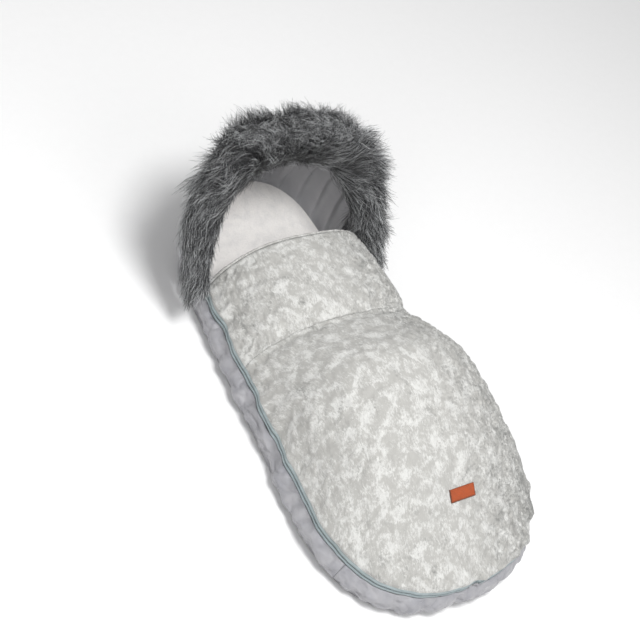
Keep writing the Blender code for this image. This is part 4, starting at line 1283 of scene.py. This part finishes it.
class FOOTMUFF_OT_gusset(FootmuffOperator):
    """Make the padded walls round the sides and the foot, with their fleece inside"""

    bl_idname = "footmuff.gusset"
    bl_label = "Gusset"

    cell = 0.0030
    rows = 22
    # How far the folds die away from a wall's ends, its bottom and its top
    end_fade = 0.012
    bottom_fade = 0.006
    top_fade = 0.007
    crease_depth = 0.0022
    pile_wave = 0.0006

    def build(self, sizes):
        corner = foot_share(gusset_corner_from_foot)
        seam = gap / (foot_half_width + foot_round_length)
        top = side_share(straight_length) - gap / straight_length
        runs = {
            "left": (dense_run(-1, corner + seam, top, self.cell), -1),
            "right": (dense_run(1, corner + seam, top, self.cell), 1),
        }
        left = dense_run(-1, 0, corner - seam, self.cell)
        right = dense_run(1, 0, corner - seam, self.cell)
        foot = tuple(np.concatenate([a[::-1], b[1:]]) for a, b in zip(left[:2], right[:2]))
        along = np.concatenate([-left[2][::-1], right[2][1:]])
        runs["foot"] = ((*foot, along), 1)
        for name, ((points, normals, lengths), side) in runs.items():
            self.wall(name, points, normals, lengths, side, sizes)

    def wall(self, name, points, normals, lengths, side, sizes):
        low, high = back_bottom, gusset_top - gap
        count = len(points) - 1
        total = lengths[-1] - lengths[0]

        def place(u, v):
            i = round(u * count)
            sway = zip_sway(points[i][0], points[i][1], sizes) * ease(v)
            out = Vector(normals[i]) * (gusset_bulge * sin(pi * v))
            return Vector(points[i]) + out + Vector((0, 0, low + (high - low) * v)) + sway

        def fade(u, v):
            share = ease(min(u, 1 - u) * total / self.end_fade)
            share *= ease(v * (high - low) / self.bottom_fade)
            return share * ease((1 - v) * (high - low) / self.top_fade)

        def outer(u, v, point):
            along = lengths[round(u * count)]
            fold = ripple(along, point.z * 0.35, side * 0.1, 0.034, 9.0)
            sag = ripple(along, point.z, side * 0.3, 0.095, 5.0)
            crease = ridges(along, point.z * 1.3, 0.024, 0.8, 1.2, side * 2.5)
            return fade(u, v) * (sizes.wall_fold * (0.9 * fold + 0.8 * sag) - self.crease_depth * crease)

        def skin(u, v, point):
            return -cloth - gusset_padding * (0.25 + 0.75 * fade(u, v))

        stem = f"gusset_{name}"
        way = side if name != "foot" else 1
        surface = grid(count, self.rows, place)
        skin_points = stand_off(surface, normals_of(surface, way), outer)
        surface = surface + settled(skin_points, rim_of(surface), sizes)
        mesh = quilt(f"{stem}_quilt", surface, outer, skin, way)
        nodes = (f"{stem}_outer", f"{stem}_padding")
        piece = add_piece(mesh, satin_woven_polyester, "shell", "lilac_grey_cloth", *nodes)

        def inside(u, v, point):
            return skin(u, v, point) - gap

        def pile(u, v, point):
            wave = self.pile_wave * ripple(*point, 0.030, 2.0)
            return inside(u, v, point) - lining_cloth + wave * fade(u, v)

        mesh = quilt(f"{stem}_fleece", surface[::2, ::2], inside, pile, way)
        piece = add_piece(mesh, short_pile_fleece, "shell", "fleece", f"{stem}_lining")
        declare_sheet(piece)


def label_share(x, y):
    """1 under the label, where the cover is sewn flat, to 0 a short way round it."""
    beside = max(0.0, abs(x) - label_length / 2)
    beyond = max(0.0, abs(y - label_from_foot) - label_width / 2)
    return ease(1 - hypot(beside, beyond) / 0.010)


class FOOTMUFF_OT_cover(FootmuffOperator):
    """Make the crowned cover and its fold-down flap: quilted print outside, fleece inside"""

    bl_idname = "footmuff.cover"
    bl_label = "Cover"

    columns = 150
    lower_rows = (60, 96)
    flap_rows = 56
    first_angle = radians(88.6)
    seam_run = 0.042
    seam_pucker = 0.0040
    edge_run = 0.028
    slimming = 0.0050
    gather_height = 0.0028
    # Heights of the fleece's broad and fine waves
    broad_pile_wave = 0.0012
    fine_pile_wave = 0.0004
    hem_points = 220
    # How far the rolled hem's puckers push it forwards and up, and swell it
    hem_forward = 0.0006
    hem_up = 0.0005
    hem_swell = 0.16
    # Stitched groove along the flap's free edge: its place, half width and depth
    groove_from_edge = 0.009
    groove_half = 0.004
    groove_depth = 0.0012
    # (spacing, stretch, turn, seed) of the creases that cross on the right, and of the softer ones
    crossed_lines = ((0.016, 2.6, radians(63), 1.5), (0.015, 2.6, radians(116), 6.5))
    soft_lines = ((0.021, 2.2, radians(20), 3.5), (0.019, 2.4, radians(100), 8.5))

    def build(self, sizes):
        self.sizes = sizes
        foot_rows, straight_rows = self.lower_rows
        rows = [foot_row(self.first_angle * (1 - i / foot_rows)) for i in range(foot_rows + 1)]
        end = lower_cover_length - gap / 2
        for i in range(1, straight_rows + 1):
            y = foot_round_length + (end - foot_round_length) * i / straight_rows
            rows.append((straight_half_width(y), y))
        self.panel("cover_lower", rows, "cover")
        rows = []
        start = lower_cover_length + gap / 2
        for i in range(self.flap_rows + 1):
            y = start + (cover_length - start) * i / self.flap_rows
            rows.append((straight_half_width(y), y))
        self.panel("cover_flap", rows, None)
        self.edge_roll()

    def spread(self, point):
        """Length over the cover from its middle line, which runs on down the steep sides."""
        drop = max(0.0, cover_base + crown_at(point.y) - point.z)
        return point.x + (drop if point.x >= 0 else -drop)

    def edges(self, point):
        """Rise over the zips, distance to the cross seam and distance to the flap's free edge."""
        return point.z - cover_base, abs(point.y - lower_cover_length), cover_length - point.y

    def swayed(self, x, y):
        """Point of the crown, whose sewn edge follows the zip and which is drawn in at the cross seam."""
        height = cover_height(x, y)
        share = ease(1 - (height - cover_base) / 0.035)
        seam = abs(y - lower_cover_length)
        inward = ease((1 - outness(x, y)) / 0.25)
        valley = self.sizes.seam_sink * ease(1 - seam / self.seam_run) ** 1.3 * (0.25 + 0.75 * inward)
        pucker = self.seam_pucker * ripple(x * 1.3, y * 0.2, 0, 0.016, 12.0) * ease(1 - seam / 0.035)
        height = max(height - valley * ease((height - cover_base) / 0.02) + pucker * inward, cover_base)
        point = Vector((x, y, height))
        return point + zip_sway(x, y, self.sizes) * share if share else point

    def relief(self, u, v, point):
        sizes = self.sizes
        rise, seam, free = self.edges(point)
        x, y = point.xy
        run = outline_run(x, y)
        off_edge = ease(rise / 0.012)
        across = self.spread(point)
        swell = sizes.swell * (ripple(across, y, 0, 0.105, 1.0) + 0.55 * ripple(across, y, 0, 0.046, 8.0))
        right = ease((across + 0.01) / 0.13)
        crossed = sum(ridges(across, y, *lines) for lines in self.crossed_lines)
        soft = sum(ridges(across, y, *lines) for lines in self.soft_lines)
        creases = crossed * (0.25 + 0.9 * right) + 0.5 * soft
        fine = 0.8 * ripple(across, y, 0, 0.013, 4.0)
        height = swell * off_edge - sizes.crease * (creases - 0.35 + fine) * off_edge
        wave = 0.5 + 0.5 * sin(2 * pi * run / sizes.scallop_length + 4.5 * ripple(run, 0, 0, 0.09, 2.0))
        over = ease(rise / 0.007) * ease(1 - (rise - 0.006) / 0.045)
        height += sizes.scallop * over * (0.25 + 0.75 * wave)
        gather = ripple(run, rise * 0.25, 0, 0.021, 5.0) * self.gather_height
        gather *= ease(rise / 0.010)
        gather *= ease(1 - rise / 0.060)
        height -= self.slimming * ease((outness(x, y) - 0.70) / 0.24) * ease(rise / 0.02)
        groove = self.groove_depth * ease(1 - abs(free - self.groove_from_edge) / self.groove_half)
        still = ease(free / 0.006) * ease(seam / 0.008) * (1 - label_share(x, y))
        return (height + gather) * still - groove

    def thickness(self, u, v, point):
        rise, seam, free = self.edges(point)
        body = cover_stack - gap
        at_edge = 0.25 + 0.75 * ease(rise / self.edge_run)
        at_free = 0.22 + 0.78 * ease(free / self.edge_run)
        at_seam = 0.75 + 0.25 * ease(seam / self.seam_run)
        return -body * min(at_edge, at_free, at_seam)

    def panel(self, stem, rows, body):
        last = len(rows) - 1

        def place(u, v):
            half_width, y = rows[round(v * last)]
            return self.swayed(half_width * sin(pi / 2 * (2 * u - 1)), y)

        surface = grid(self.columns, last, place)
        skin = stand_off(surface, normals_of(surface), self.relief)
        under = np.array([[label_share(x, y) > 0.5 for x, y, _ in row] for row in surface])
        off_rim = np.array([[ease((z - cover_base) / 0.022) for _, _, z in row] for row in surface])
        surface = surface + settled(skin, rim_of(surface) | under, self.sizes) * off_rim[:, :, None]
        mesh = quilt(f"{stem}_quilt", surface, self.relief, self.thickness)
        nodes = (f"{stem}_outer", f"{stem}_padding")
        piece = add_piece(mesh, brushed_printed_canvas, body, "marbled_print", *nodes)

        def back_of(u, v, point):
            return self.thickness(u, v, point) - gap

        def pile(u, v, point):
            soft = self.broad_pile_wave * ripple(*point, 0.060, 5.0)
            soft += self.fine_pile_wave * ripple(*point, 0.015, 3.0)
            return back_of(u, v, point) - lining_cloth - max(0.0, 0.001 + soft)

        mesh = quilt(f"{stem}_fleece", surface[::2, ::2], back_of, pile)
        piece = add_piece(mesh, short_pile_fleece, body, "fleece", f"{stem}_lining")
        declare_sheet(piece)

    def edge_roll(self):
        points, radii = [], []
        half_width = straight_half_width(cover_length) - edge_roll_radius
        for i in range(self.hem_points + 1):
            x = half_width * sin(pi / 2 * (2 * i / self.hem_points - 1))
            height = cover_height(x, cover_length) - edge_roll_radius
            pucker = ripple(x, 0, height, 0.010, 3.0)
            y = cover_length + gap + edge_roll_radius + self.hem_forward * pucker
            height = max(height, cover_base + edge_roll_radius) + self.hem_up * pucker
            points.append(Vector((x, y, height)))
            radii.append(edge_roll_radius * (1 + self.hem_swell * pucker))
        mesh = tube_mesh("flap_rolled_hem", points, radii, 10)
        unwrap_by_place(mesh)
        add_piece(mesh, brushed_printed_canvas, "flap", "marbled_print", "flap_edge_roll")


def unwrap_by_place(mesh):
    """A flat map for a narrow piece: across the bag, and along it plus up."""
    flat = mesh.uv_layers.get("cloth") or mesh.uv_layers.new(name="cloth")
    for loop in mesh.loops:
        point = mesh.vertices[loop.vertex_index].co
        flat.data[loop.index].uv = (point.x, point.y + point.z)


class FOOTMUFF_OT_label(FootmuffOperator):
    """Make the bare leather label, sewn on over the foot"""

    bl_idname = "footmuff.label"
    bl_label = "Leather label"

    columns = 66
    rows = 22
    edge_round = 0.0012
    # Width of the burnished edge
    dark_edge = 0.0030
    stitch_inset = 0.0022
    groove_half = 0.0008
    thread_thickness = 0.0007

    def build(self, sizes):
        def on_cover(along, across):
            x = label_length * along
            y = label_from_foot + label_width * across
            return Vector((x, y, cover_height(x, y)))

        def place(u, v):
            return on_cover(u - 0.5, v - 0.5)

        def near_edge(u, v):
            return min(min(u, 1 - u) * label_length, min(v, 1 - v) * label_width)

        def face(u, v, point):
            rounded = 1 - ease(near_edge(u, v) / self.edge_round)
            groove = ease(1 - abs(near_edge(u, v) - self.stitch_inset) / self.groove_half)
            curl_up = 0.0004 * (1 + ripple(point.x, point.y, 0, 0.022, 9.0))
            return label_lift + label_thickness - 0.0006 * rounded - 0.00035 * groove + curl_up

        def back(u, v, point):
            return face(u, v, point) - label_thickness

        mesh = quilt("label", grid(self.columns, self.rows, place), face, back)
        edge = mesh.attributes.new("edge", "FLOAT", "POINT")
        points = np.array([vertex.co for vertex in mesh.vertices])
        inward = np.minimum(points - points.min(0), points.max(0) - points)[:, :2].min(1)
        for darkening, distance in zip(edge.data, inward):
            darkening.value = 1 - ease(float(distance) / self.dark_edge)
        add_piece(mesh, vegetable_tanned_leather, "cover", "tan_leather", "leather_label")

        places = []
        spacing = sizes.stitch_length * 1.3
        half_length = label_length / 2 - self.stitch_inset
        half_width = label_width / 2 - self.stitch_inset
        edges = ((0, 1, half_length), (0, -1, half_length), (1, 0, half_width), (-1, 0, half_width))
        for x_way, y_way, half in edges:
            for along in stitch_row(half, spacing):
                x, y = (along, y_way * half_width) if y_way else (x_way * half_length, along)
                u, v = x / label_length, y / label_width
                point = on_cover(u, v)
                side = on_cover((x + probe / 10) / label_length, v) - point
                rise = on_cover(u, (y + probe / 10) / label_width) - point
                up = side.cross(rise).normalized()
                point += up * (face(u + 0.5, v + 0.5, point) + 0.0001)
                forward = side.normalized() if y_way else up.cross(side).normalized()
                across = up.cross(forward)
                turn = Matrix((forward, across, up)).transposed().to_4x4()
                places.append(Matrix.Translation(point) @ turn)
        size = (sizes.stitch_length, self.thread_thickness, self.thread_thickness)
        add_piece(beads("label_stitches", places, size), waxed_brown_thread, "cover", "tan_leather")


class FOOTMUFF_OT_zips(FootmuffOperator):
    """Make the two zips: woven tapes and coils on the gusset, the cover and the flap"""

    bl_idname = "footmuff.zips"
    bl_label = "Zips"

    cell = 0.0040
    tape_rows = 5
    tape_tuck = 0.0016
    tape_from_middle = 0.0010
    tape_wave = 0.0016
    coil_reach = 0.00045
    coil_lean = radians(12)
    tab_cell = 0.0012
    tab_rows = 8
    tab_rim = 0.0008

    def build(self, sizes):
        start = share_across(gap)
        seam = side_share(lower_cover_length)
        seam_gap = gap / straight_length
        flap_top = side_share(cover_length)
        top = side_share(straight_length) - seam_gap
        stop = stop_length / (straight_length - foot_round_length)
        runs = (
            ("gusset", "shell", -1, start, top, top - stop - seam_gap),
            ("cover", "cover", 1, start, seam - seam_gap, seam - seam_gap),
            ("flap", None, 1, seam + seam_gap, flap_top, flap_top - stop - seam_gap),
        )
        for side, stem in ((-1, "left"), (1, "right")):
            for name, body, way, first, last, row_last in runs:
                self.tape(f"zip_{stem}_{name}", side, way, body, first, last, sizes)
                self.coil(f"zip_{stem}_{name}", side, way, body, first, row_last, sizes)
        self.tab(sizes)

    def tape(self, stem, side, way, body, first, last, sizes):
        points, normals, lengths = dense_run(side, first, last, self.cell)
        count = len(points) - 1
        near = self.tape_from_middle
        far = zip_band_half + self.tape_tuck

        def place(u, v):
            i = round(u * count)
            away = near + (far - near) * v
            # The tape leans in under the cloth that it is sewn to
            tucked = max(0.0, away - zip_band_half + 0.0010)
            wave = self.tape_wave * ripple(lengths[i], side * 3.0, 0, 0.030, 6.0 + way)
            wave *= ease((away - 0.0035) / 0.003)
            out = Vector(normals[i]) * (wave - 1.3 * tucked)
            sway = zip_sway(points[i][0], points[i][1], sizes)
            return Vector(points[i]) + out + Vector((0, 0, zip_height + way * away)) + sway

        half = tape_thickness / 2
        surface = grid(count, self.tape_rows, place)
        mesh = quilt(f"{stem}_tape_cloth", surface, lambda *at: half, lambda *at: -half, side * way)
        add_piece(mesh, herringbone_polyester_tape, body, "blue_grey_tape", f"{stem}_tape")

    def coil(self, stem, side, way, body, first, last, sizes):
        points, normals, _ = dense_run(side, first, last, sizes.tooth_pitch)
        places = []
        reach = chain_slot / 2 - self.coil_reach
        middle = (reach + chain_slot / 2 + tooth_row_height) / 2
        # The two rows mesh: each stands half a pitch along from the other
        shift = 0.25 if way > 0 else 0.75
        for i in range(len(points) - 1):
            point = points[i] + (points[i + 1] - points[i]) * shift
            normal = Vector(normals[i])
            point = Vector(point) + zip_sway(point[0], point[1], sizes)
            up = Vector((0, 0, 1))
            turn = Matrix((normal, up.cross(normal), up)).transposed().to_4x4()
            place = Matrix.Translation(point + up * (zip_height + way * middle))
            places.append(place @ turn @ Matrix.Rotation(way * self.coil_lean, 4, "X"))
        height = chain_slot / 2 + tooth_row_height - reach - gap
        mesh = beads(f"{stem}_coil", places, (tooth_thickness, sizes.tooth_pitch * 0.62, height))
        add_piece(mesh, nylon_monofilament, body, "zip_coil", f"{stem}_teeth")

    def tab(self, sizes):
        reach = share_across(meeting_tab_half_length)
        left, right = (dense_run(side, 0, reach, self.tab_cell) for side in (-1, 1))
        points = np.concatenate([left[0][::-1], right[0][1:]])
        normals = np.concatenate([left[1][::-1], right[1][1:]])
        count = len(points) - 1
        low = gusset_top + gap
        high = zip_height - chain_slot / 2 - tooth_row_height - gap

        def place(u, v):
            i = round(u * count)
            out = Vector(normals[i]) * (tape_thickness / 2 + gap + cloth)
            sway = zip_sway(points[i][0], points[i][1], sizes)
            return Vector(points[i]) + out + Vector((0, 0, low + (high - low) * v)) + sway

        def face(u, v, point):
            rim = ease(min(u, 1 - u) * 2 * meeting_tab_half_length / 0.002)
            rim *= ease(min(v, 1 - v) * (high - low) / 0.0016)
            return self.tab_rim * rim

        mesh = quilt("zip_sewn_tab", grid(count, self.tab_rows, place), face, lambda *at: -cloth)
        add_piece(mesh, satin_woven_polyester, "shell", "lilac_grey_cloth", "zip_meeting_tab")


class FOOTMUFF_OT_metal(FootmuffOperator):
    """Give the sliders, pulls and stops their plated finish"""

    bl_idname = "footmuff.metal"
    bl_label = "Sliders and stops"

    def build(self, sizes):
        names = [name for name in frame["nodes"] if "slider" in name or "pull" in name or "stop" in name]
        if not names:
            raise RuntimeError("the frame holds no sliders, pulls or stops")
        plate = look(satin_nickel_plate)
        for name in names:
            part = frame["nodes"][name]
            if part.material_slots:
                for slot in part.material_slots:
                    slot.material = plate
            else:
                part.data.materials.append(plate)


class FOOTMUFF_OT_hood(FootmuffOperator):
    """Make the gathered hood: padded shell, pleated lining, puckered casing and side wings"""

    bl_idname = "footmuff.hood"
    bl_label = "Hood"

    shell_columns = 220
    shell_rows = 46
    pleat_facets = 26
    lining_rows = 46
    gathers = 58
    pleat_drop = 0.0088
    # Heights of the waves in the shell, the lining and the wings
    broad_wave = 0.0035
    fine_wave = 0.0012
    lining_wave = 0.0006
    wing_wave = 0.0012
    casing_points = 420
    # How far the casing's puckers push it outwards and swell it
    casing_outward = 0.0005
    casing_swell = 0.13
    wing_cells = (26, 40)

    def build(self, sizes):
        def face(u, v):
            return hood_section(pi * u, v)

        def gathered(u, v, point):
            phase = 2 * pi * self.gathers * u + 5 * ripple(u, 0, 0, 0.10, 4.0)
            gather = sizes.gather * sin(phase) * ease((v - 0.25) / 0.75) ** 1.3
            wave = self.broad_wave * ripple(*point, 0.070, 2.0)
            wave += self.fine_wave * ripple(*point, 0.022, 5.0)
            return (gather + wave * ease((1 - v) / 0.1)) * ease(v / 0.06) * ease(min(u, 1 - u) / 0.012)

        def padded(u, v, point):
            return -cloth - hood_padding * (0.3 + 0.7 * ease(min(v, 1 - v) / 0.12))

        surface = grid(self.shell_columns, self.shell_rows, face)
        skin = stand_off(surface, normals_of(surface), gathered)
        surface = surface + settled(skin, rim_of(surface), sizes)
        mesh = quilt("hood_shell", surface, gathered, padded)
        nodes = ("hood_outer", "hood_padding")
        piece = add_piece(mesh, satin_woven_polyester, "shell", "lilac_grey_cloth", *nodes)

        depth = cloth + gap + hood_padding + wall_gap

        def pleats(u, v, point):
            place = (u * pleat_count + 0.08 * ripple(u, v, 0, 0.3, 3.0)) % 1.0
            fold = ease(place / 0.72) * (1 - ease((place - 0.80) / 0.20))
            soft = self.lining_wave * ripple(*point, 0.020, 6.0)
            return -depth - self.pleat_drop * (1 - fold) * sin(pi / 2 * min(1.0, 0.25 + v)) - soft

        surface = grid(pleat_count * self.pleat_facets, self.lining_rows, face)
        mesh = quilt("hood_pleats", surface, pleats, lambda *at: pleats(*at) - lining_cloth)
        piece = add_piece(mesh, plain_woven_lining, "shell", "hood_lining", "hood_lining")
        declare_sheet(piece)
        self.casing()
        for side, stem in ((-1, "left"), (1, "right")):
            self.wing(side, stem)

    def casing(self):
        points, radii = [], []
        for i in range(self.casing_points + 1):
            turn = pi * i / self.casing_points
            pucker = sin(2 * pi * self.gathers * 1.5 * turn / pi + 4 * ripple(turn, 0, 0, 0.3, 1.0))
            points.append(hem_line(turn) + rim_direction(turn) * self.casing_outward * pucker)
            radii.append(hem_radius * (1 + self.casing_swell * pucker))
        mesh = tube_mesh("hood_casing", points, radii, 12)
        unwrap_by_place(mesh)
        add_piece(mesh, satin_woven_polyester, "shell", "lilac_grey_cloth", "hood_hem", "hood_elastic")

    def wing(self, side, stem):
        shares = [t / 100 for t in range(101)]
        heights = [hood_section(0, share).z for share in shares]
        first = np.interp(cover_base + wing_lift, heights, shares)

        def place(u, v):
            t = first + (wing_top_share - first) * v
            round_way = (hood_section(probe, t) - hood_section(0, t)).normalized()
            edge = hood_section(0, t) - round_way * seat_gap
            angle = hood_first_angle * wing_top_share * v
            front = fur_line(angle) - rim_direction(0) * (fur_radius_at(angle) + wall_gap)
            point = edge.lerp(front, u) - hood_normal(0, t) * wing_thickness / 2
            point.x *= side
            return point

        def soft(u, v):
            return ease(min(u, 1 - u) / 0.15) * ease(min(v, 1 - v) / 0.10)

        def puff(u, v, point):
            wave = self.wing_wave * soft(u, v) * ripple(*point, 0.020, side * 3.0)
            return wing_thickness / 2 * (0.35 + 0.65 * soft(u, v)) + wave

        def under(u, v, point):
            return -wing_thickness / 2 * (0.35 + 0.65 * soft(u, v))

        mesh = quilt(f"hood_side_{stem}", grid(*self.wing_cells, place), puff, under, -side)
        piece = add_piece(mesh, satin_woven_polyester, "shell", "lilac_grey_cloth", f"hood_wing_{stem}")


class FOOTMUFF_OT_fur(FootmuffOperator):
    """Make the long-pile trim: a backing roll and clumped hairs that fan out of the hood's rim"""

    bl_idname = "footmuff.fur"
    bl_label = "Pile trim"

    parts = ("right", "right_side", "right_top", "top", "left_top", "left_side", "left")
    backing_share = 0.55
    backing_points = 120
    hair_points = 5
    tip_share = 0.28
    # Way that all of the pile has been brushed over
    lean = (-0.20, 0, 0)
    # Way that it hangs beside the opening, and the share of that on the right
    droop = (0, -0.75, -0.6)
    right_droop = 0.45
    # Share that is clipped off towards the face
    face_clip = 0.62
    # Where the pile starts to lie down and how far it still reaches past there, in height and width,
    # and the lowest that a hair hangs
    lie_from = 0.285
    lie_over = 0.045
    wide_from = 0.222
    wide_over = 0.025
    hang_to = 0.012
    hem_half_angle = radians(38)
    # How far a lock strays from the way of its neighbours, and its hairs at their tips and middles
    lock_stray = 0.12
    tip_stray = 0.0048
    bow_stray = 0.0020
    swirl_share = 0.55
    swirl_scale = 22
    swirl_shifts = (Vector((31.3, 8.7, 2.1)), Vector((12.3, 44.1, 6.7)), Vector((25.9, 3.2, 33.4)))
    seed = 7

    def build(self, sizes):
        angles = [pi * i / self.backing_points for i in range(self.backing_points + 1)]
        points, radii = zip(*(self.roll(angle) for angle in angles))
        mesh = tube_mesh("pile_backing", points, radii, 16)
        add_piece(mesh, knitted_pile_backing, "shell", "long_pile", "fur_trim")
        rng = np.random.default_rng(self.seed)
        for index, part in enumerate(self.parts):
            first = pi * index / len(self.parts)
            last = pi * (index + 1) / len(self.parts)
            self.hairs(part, first, last, rng, sizes)

    def roll(self, angle):
        """Middle and radius of the backing, which is sewn against the hood's hem."""
        radius = self.backing_share * fur_radius_at(angle)
        back = rim_direction(hem_turn(angle)) * (fur_radius_at(angle) - radius)
        return fur_line(angle) - back, radius

    def frames(self, angles):
        """The roll's middle, outward and forward directions, its hem's direction and its radius."""
        found = []
        for angle in angles:
            middle = self.roll(angle)[0]
            along = fur_tangent(angle)
            away = middle - Vector((0, middle.y, fur_front_height + 0.25 * fur_rise))
            away = (away - along * away.dot(along)).normalized()
            forward = along.cross(away).normalized()
            if forward.y > 0:
                forward = -forward
            found.append((middle, away, forward, rim_direction(hem_turn(angle)), fur_radius_at(angle)))
        return [np.array(values) for values in zip(*found)]

    def hairs(self, part, first, last, rng, sizes):
        locks, hairs = sizes.locks, sizes.hairs
        angles = rng.uniform(first, last, locks * 3)
        middle, away, forward, rim, radius = self.frames(angles)
        section = rng.uniform(0, 2 * pi, len(angles))
        out = away * np.cos(section)[:, None] + forward * np.sin(section)[:, None]
        # No hair grows where the hem is sewn on
        facing = np.einsum("ij,ij->i", out, -rim)
        keep = rng.choice(np.flatnonzero(facing < cos(self.hem_half_angle)), locks, replace=False)
        middle, away, forward, out, radius, angles = (
            values[keep] for values in (middle, away, forward, out, radius, angles)
        )
        fullness = (radius - fur_end_radius) / (fur_radius - fur_end_radius)
        length = sizes.pile_length * (0.55 + 0.45 * fullness) * rng.uniform(0.7, 1.1, locks)
        # The pile is clipped shorter towards the face, except on the right
        inner = np.clip(-np.einsum("ij,ij->i", out, away), 0, 1)
        length *= 1 - self.face_clip * inner * np.clip(0.6 - np.cos(angles), 0, 1)
        root = middle + out * (self.backing_share * radius)[:, None]

        # Combed outwards over the head, and down along the rim on both sides
        beside = np.abs(np.cos(angles))[:, None] ** 1.2
        down = np.where(np.cos(angles)[:, None] < 0, 1.0, self.right_droop) * np.array(self.droop)
        flow = (away * 0.95 + forward * 0.22) * (1 - 0.6 * beside) + down * beside
        places = [Vector(point) * self.swirl_scale for point in root]
        swirl = np.array([[noise.noise(place + shift) for shift in self.swirl_shifts] for place in places])
        flow += self.swirl_share * swirl + np.array(self.lean) + rng.normal(0, self.lock_stray, (locks, 3))
        flow -= 0.7 * out * np.einsum("ij,ij->i", flow, out)[:, None]
        flow /= np.maximum(np.linalg.norm(flow, axis=1, keepdims=True), 1e-6)

        t = np.linspace(0, 1, self.hair_points)
        rise = 0.72 * t - 0.34 * t**2
        drift = 0.22 * t + 0.62 * t**2
        aside = np.cross(out, flow)
        phase = rng.uniform(0, 2 * pi, locks)
        sway = np.sin(5.0 * t[None] + phase[:, None]) * t[None] * 0.10
        line = root[:, None] + length[:, None, None] * (
            out[:, None] * rise[None, :, None]
            + flow[:, None] * drift[None, :, None]
            + aside[:, None] * sway[:, :, None]
            + np.array(self.lean) * (0.6 * t**1.3)[None, :, None]
        )
        # Each hair starts beside its lock's root and runs in towards the lock's tip
        spread = rng.normal(0, 0.55, (locks, hairs, 3)) * sizes.lock_radius
        spread *= (0.5 + 0.5 * fullness)[:, None, None]
        spread -= out[:, None] * np.einsum("ijk,ik->ij", spread, out)[:, :, None]
        gather = 1 - 0.42 * t
        own = line[:, None] + spread[:, :, None] * gather[None, None, :, None]
        start = own[:, :, :1]
        own = start + (own - start) * rng.uniform(0.65, 1.12, (locks, hairs))[:, :, None, None]
        own += rng.normal(0, self.tip_stray, (locks, hairs, 1, 3)) * t[None, None, :, None] ** 1.4
        own += rng.normal(0, self.bow_stray, (locks, hairs, 1, 3)) * np.sin(pi * t)[None, None, :, None]
        own = own.reshape(-1, self.hair_points, 3)
        # The longest hairs lie down rather than stand past the trim's reach, or hang below the bag
        high = np.maximum(own[..., 2] - self.lie_from, 0)
        own[..., 2] -= high - high * self.lie_over / (high + self.lie_over)
        wide = np.maximum(np.abs(own[..., 0]) - self.wide_from, 0)
        own[..., 0] -= np.sign(own[..., 0]) * (wide - wide * self.wide_over / (wide + self.wide_over))
        own[..., 2] = np.maximum(own[..., 2], self.hang_to)
        mesh = self.hair_mesh(f"pile_{part}", own, t, sizes)
        rows = np.empty((len(own), self.hair_points, 3, 4), np.float32)
        rows[..., 0] = t[None, :, None]
        rows[..., 1] = np.repeat(rng.uniform(0, 1, locks), hairs)[:, None, None]
        rows[..., 2] = rng.uniform(0, 1, len(own))[:, None, None]
        rows[..., 3] = 1
        pile = mesh.attributes.new("pile", "FLOAT_COLOR", "POINT")
        pile.data.foreach_set("color", rows.ravel())
        add_piece(mesh, acrylic_long_pile, "shell", "long_pile")

    def hair_mesh(self, name, lines, t, sizes):
        """Hairs as tapering three-sided tubes, made by a curve and a three-sided bevel."""
        section = bpy.data.curves.new("hair_section", "CURVE")
        outline = section.splines.new("POLY")
        outline.points.add(2)
        for i, point in enumerate(outline.points):
            turn = 2 * pi * i / 3
            point.co = (sizes.hair_radius * cos(turn), sizes.hair_radius * sin(turn), 0, 1)
        outline.use_cyclic_u = True
        profile = placed("hair_section", section)
        curve = bpy.data.curves.new(name, "CURVE")
        curve.dimensions = "3D"
        curve.bevel_mode = "OBJECT"
        curve.bevel_object = profile
        radii = (1 - (1 - self.tip_share) * t**1.6).astype(np.float32)
        homogeneous = np.concatenate([lines, np.ones((*lines.shape[:2], 1))], axis=2).astype(np.float32)
        for row in homogeneous:
            spline = curve.splines.new("POLY")
            spline.points.add(self.hair_points - 1)
            spline.points.foreach_set("co", row.ravel())
            spline.points.foreach_set("radius", radii)
        mesh = mesh_of(placed(name, curve))
        mesh.name = name
        bpy.data.objects.remove(profile)
        if len(mesh.vertices) != len(lines) * self.hair_points * 3:
            raise RuntimeError(f"{name} holds {len(mesh.vertices)} vertices, not three for each point")
        mesh.transform(Matrix.Translation((0, bag_foot, 0)))
        mesh.shade_smooth()
        return mesh


steps = (
    FOOTMUFF_OT_stage,
    FOOTMUFF_OT_back,
    FOOTMUFF_OT_gusset,
    FOOTMUFF_OT_cover,
    FOOTMUFF_OT_label,
    FOOTMUFF_OT_zips,
    FOOTMUFF_OT_metal,
    FOOTMUFF_OT_hood,
    FOOTMUFF_OT_fur,
)


class FOOTMUFF_PT_panel(bpy.types.Panel):
    """Lists the footmuff's steps, sizes and colours"""

    bl_label = "Footmuff"
    bl_space_type = "VIEW_3D"
    bl_region_type = "UI"
    bl_category = "Footmuff"

    def draw(self, context):
        for step in steps:
            self.layout.operator(step.bl_idname)
        for group in (context.scene.footmuff_sizes, context.scene.footmuff_colours):
            box = self.layout.box()
            for name in group.bl_rna.properties.keys():
                if name not in ("rna_type", "name"):
                    box.prop(group, name)


classes = (FootmuffSizes, FootmuffColours, *steps, FOOTMUFF_PT_panel)


def register():
    for item in classes:
        bpy.utils.register_class(item)
    bpy.types.Scene.footmuff_sizes = PointerProperty(type=FootmuffSizes)
    bpy.types.Scene.footmuff_colours = PointerProperty(type=FootmuffColours)


def unregister():
    del bpy.types.Scene.footmuff_colours
    del bpy.types.Scene.footmuff_sizes
    for item in reversed(classes):
        bpy.utils.unregister_class(item)


def main():
    register()
    for step in steps:
        family, name = step.bl_idname.split(".")
        getattr(getattr(bpy.ops, family), name)()


if __name__ == "__main__":
    main()
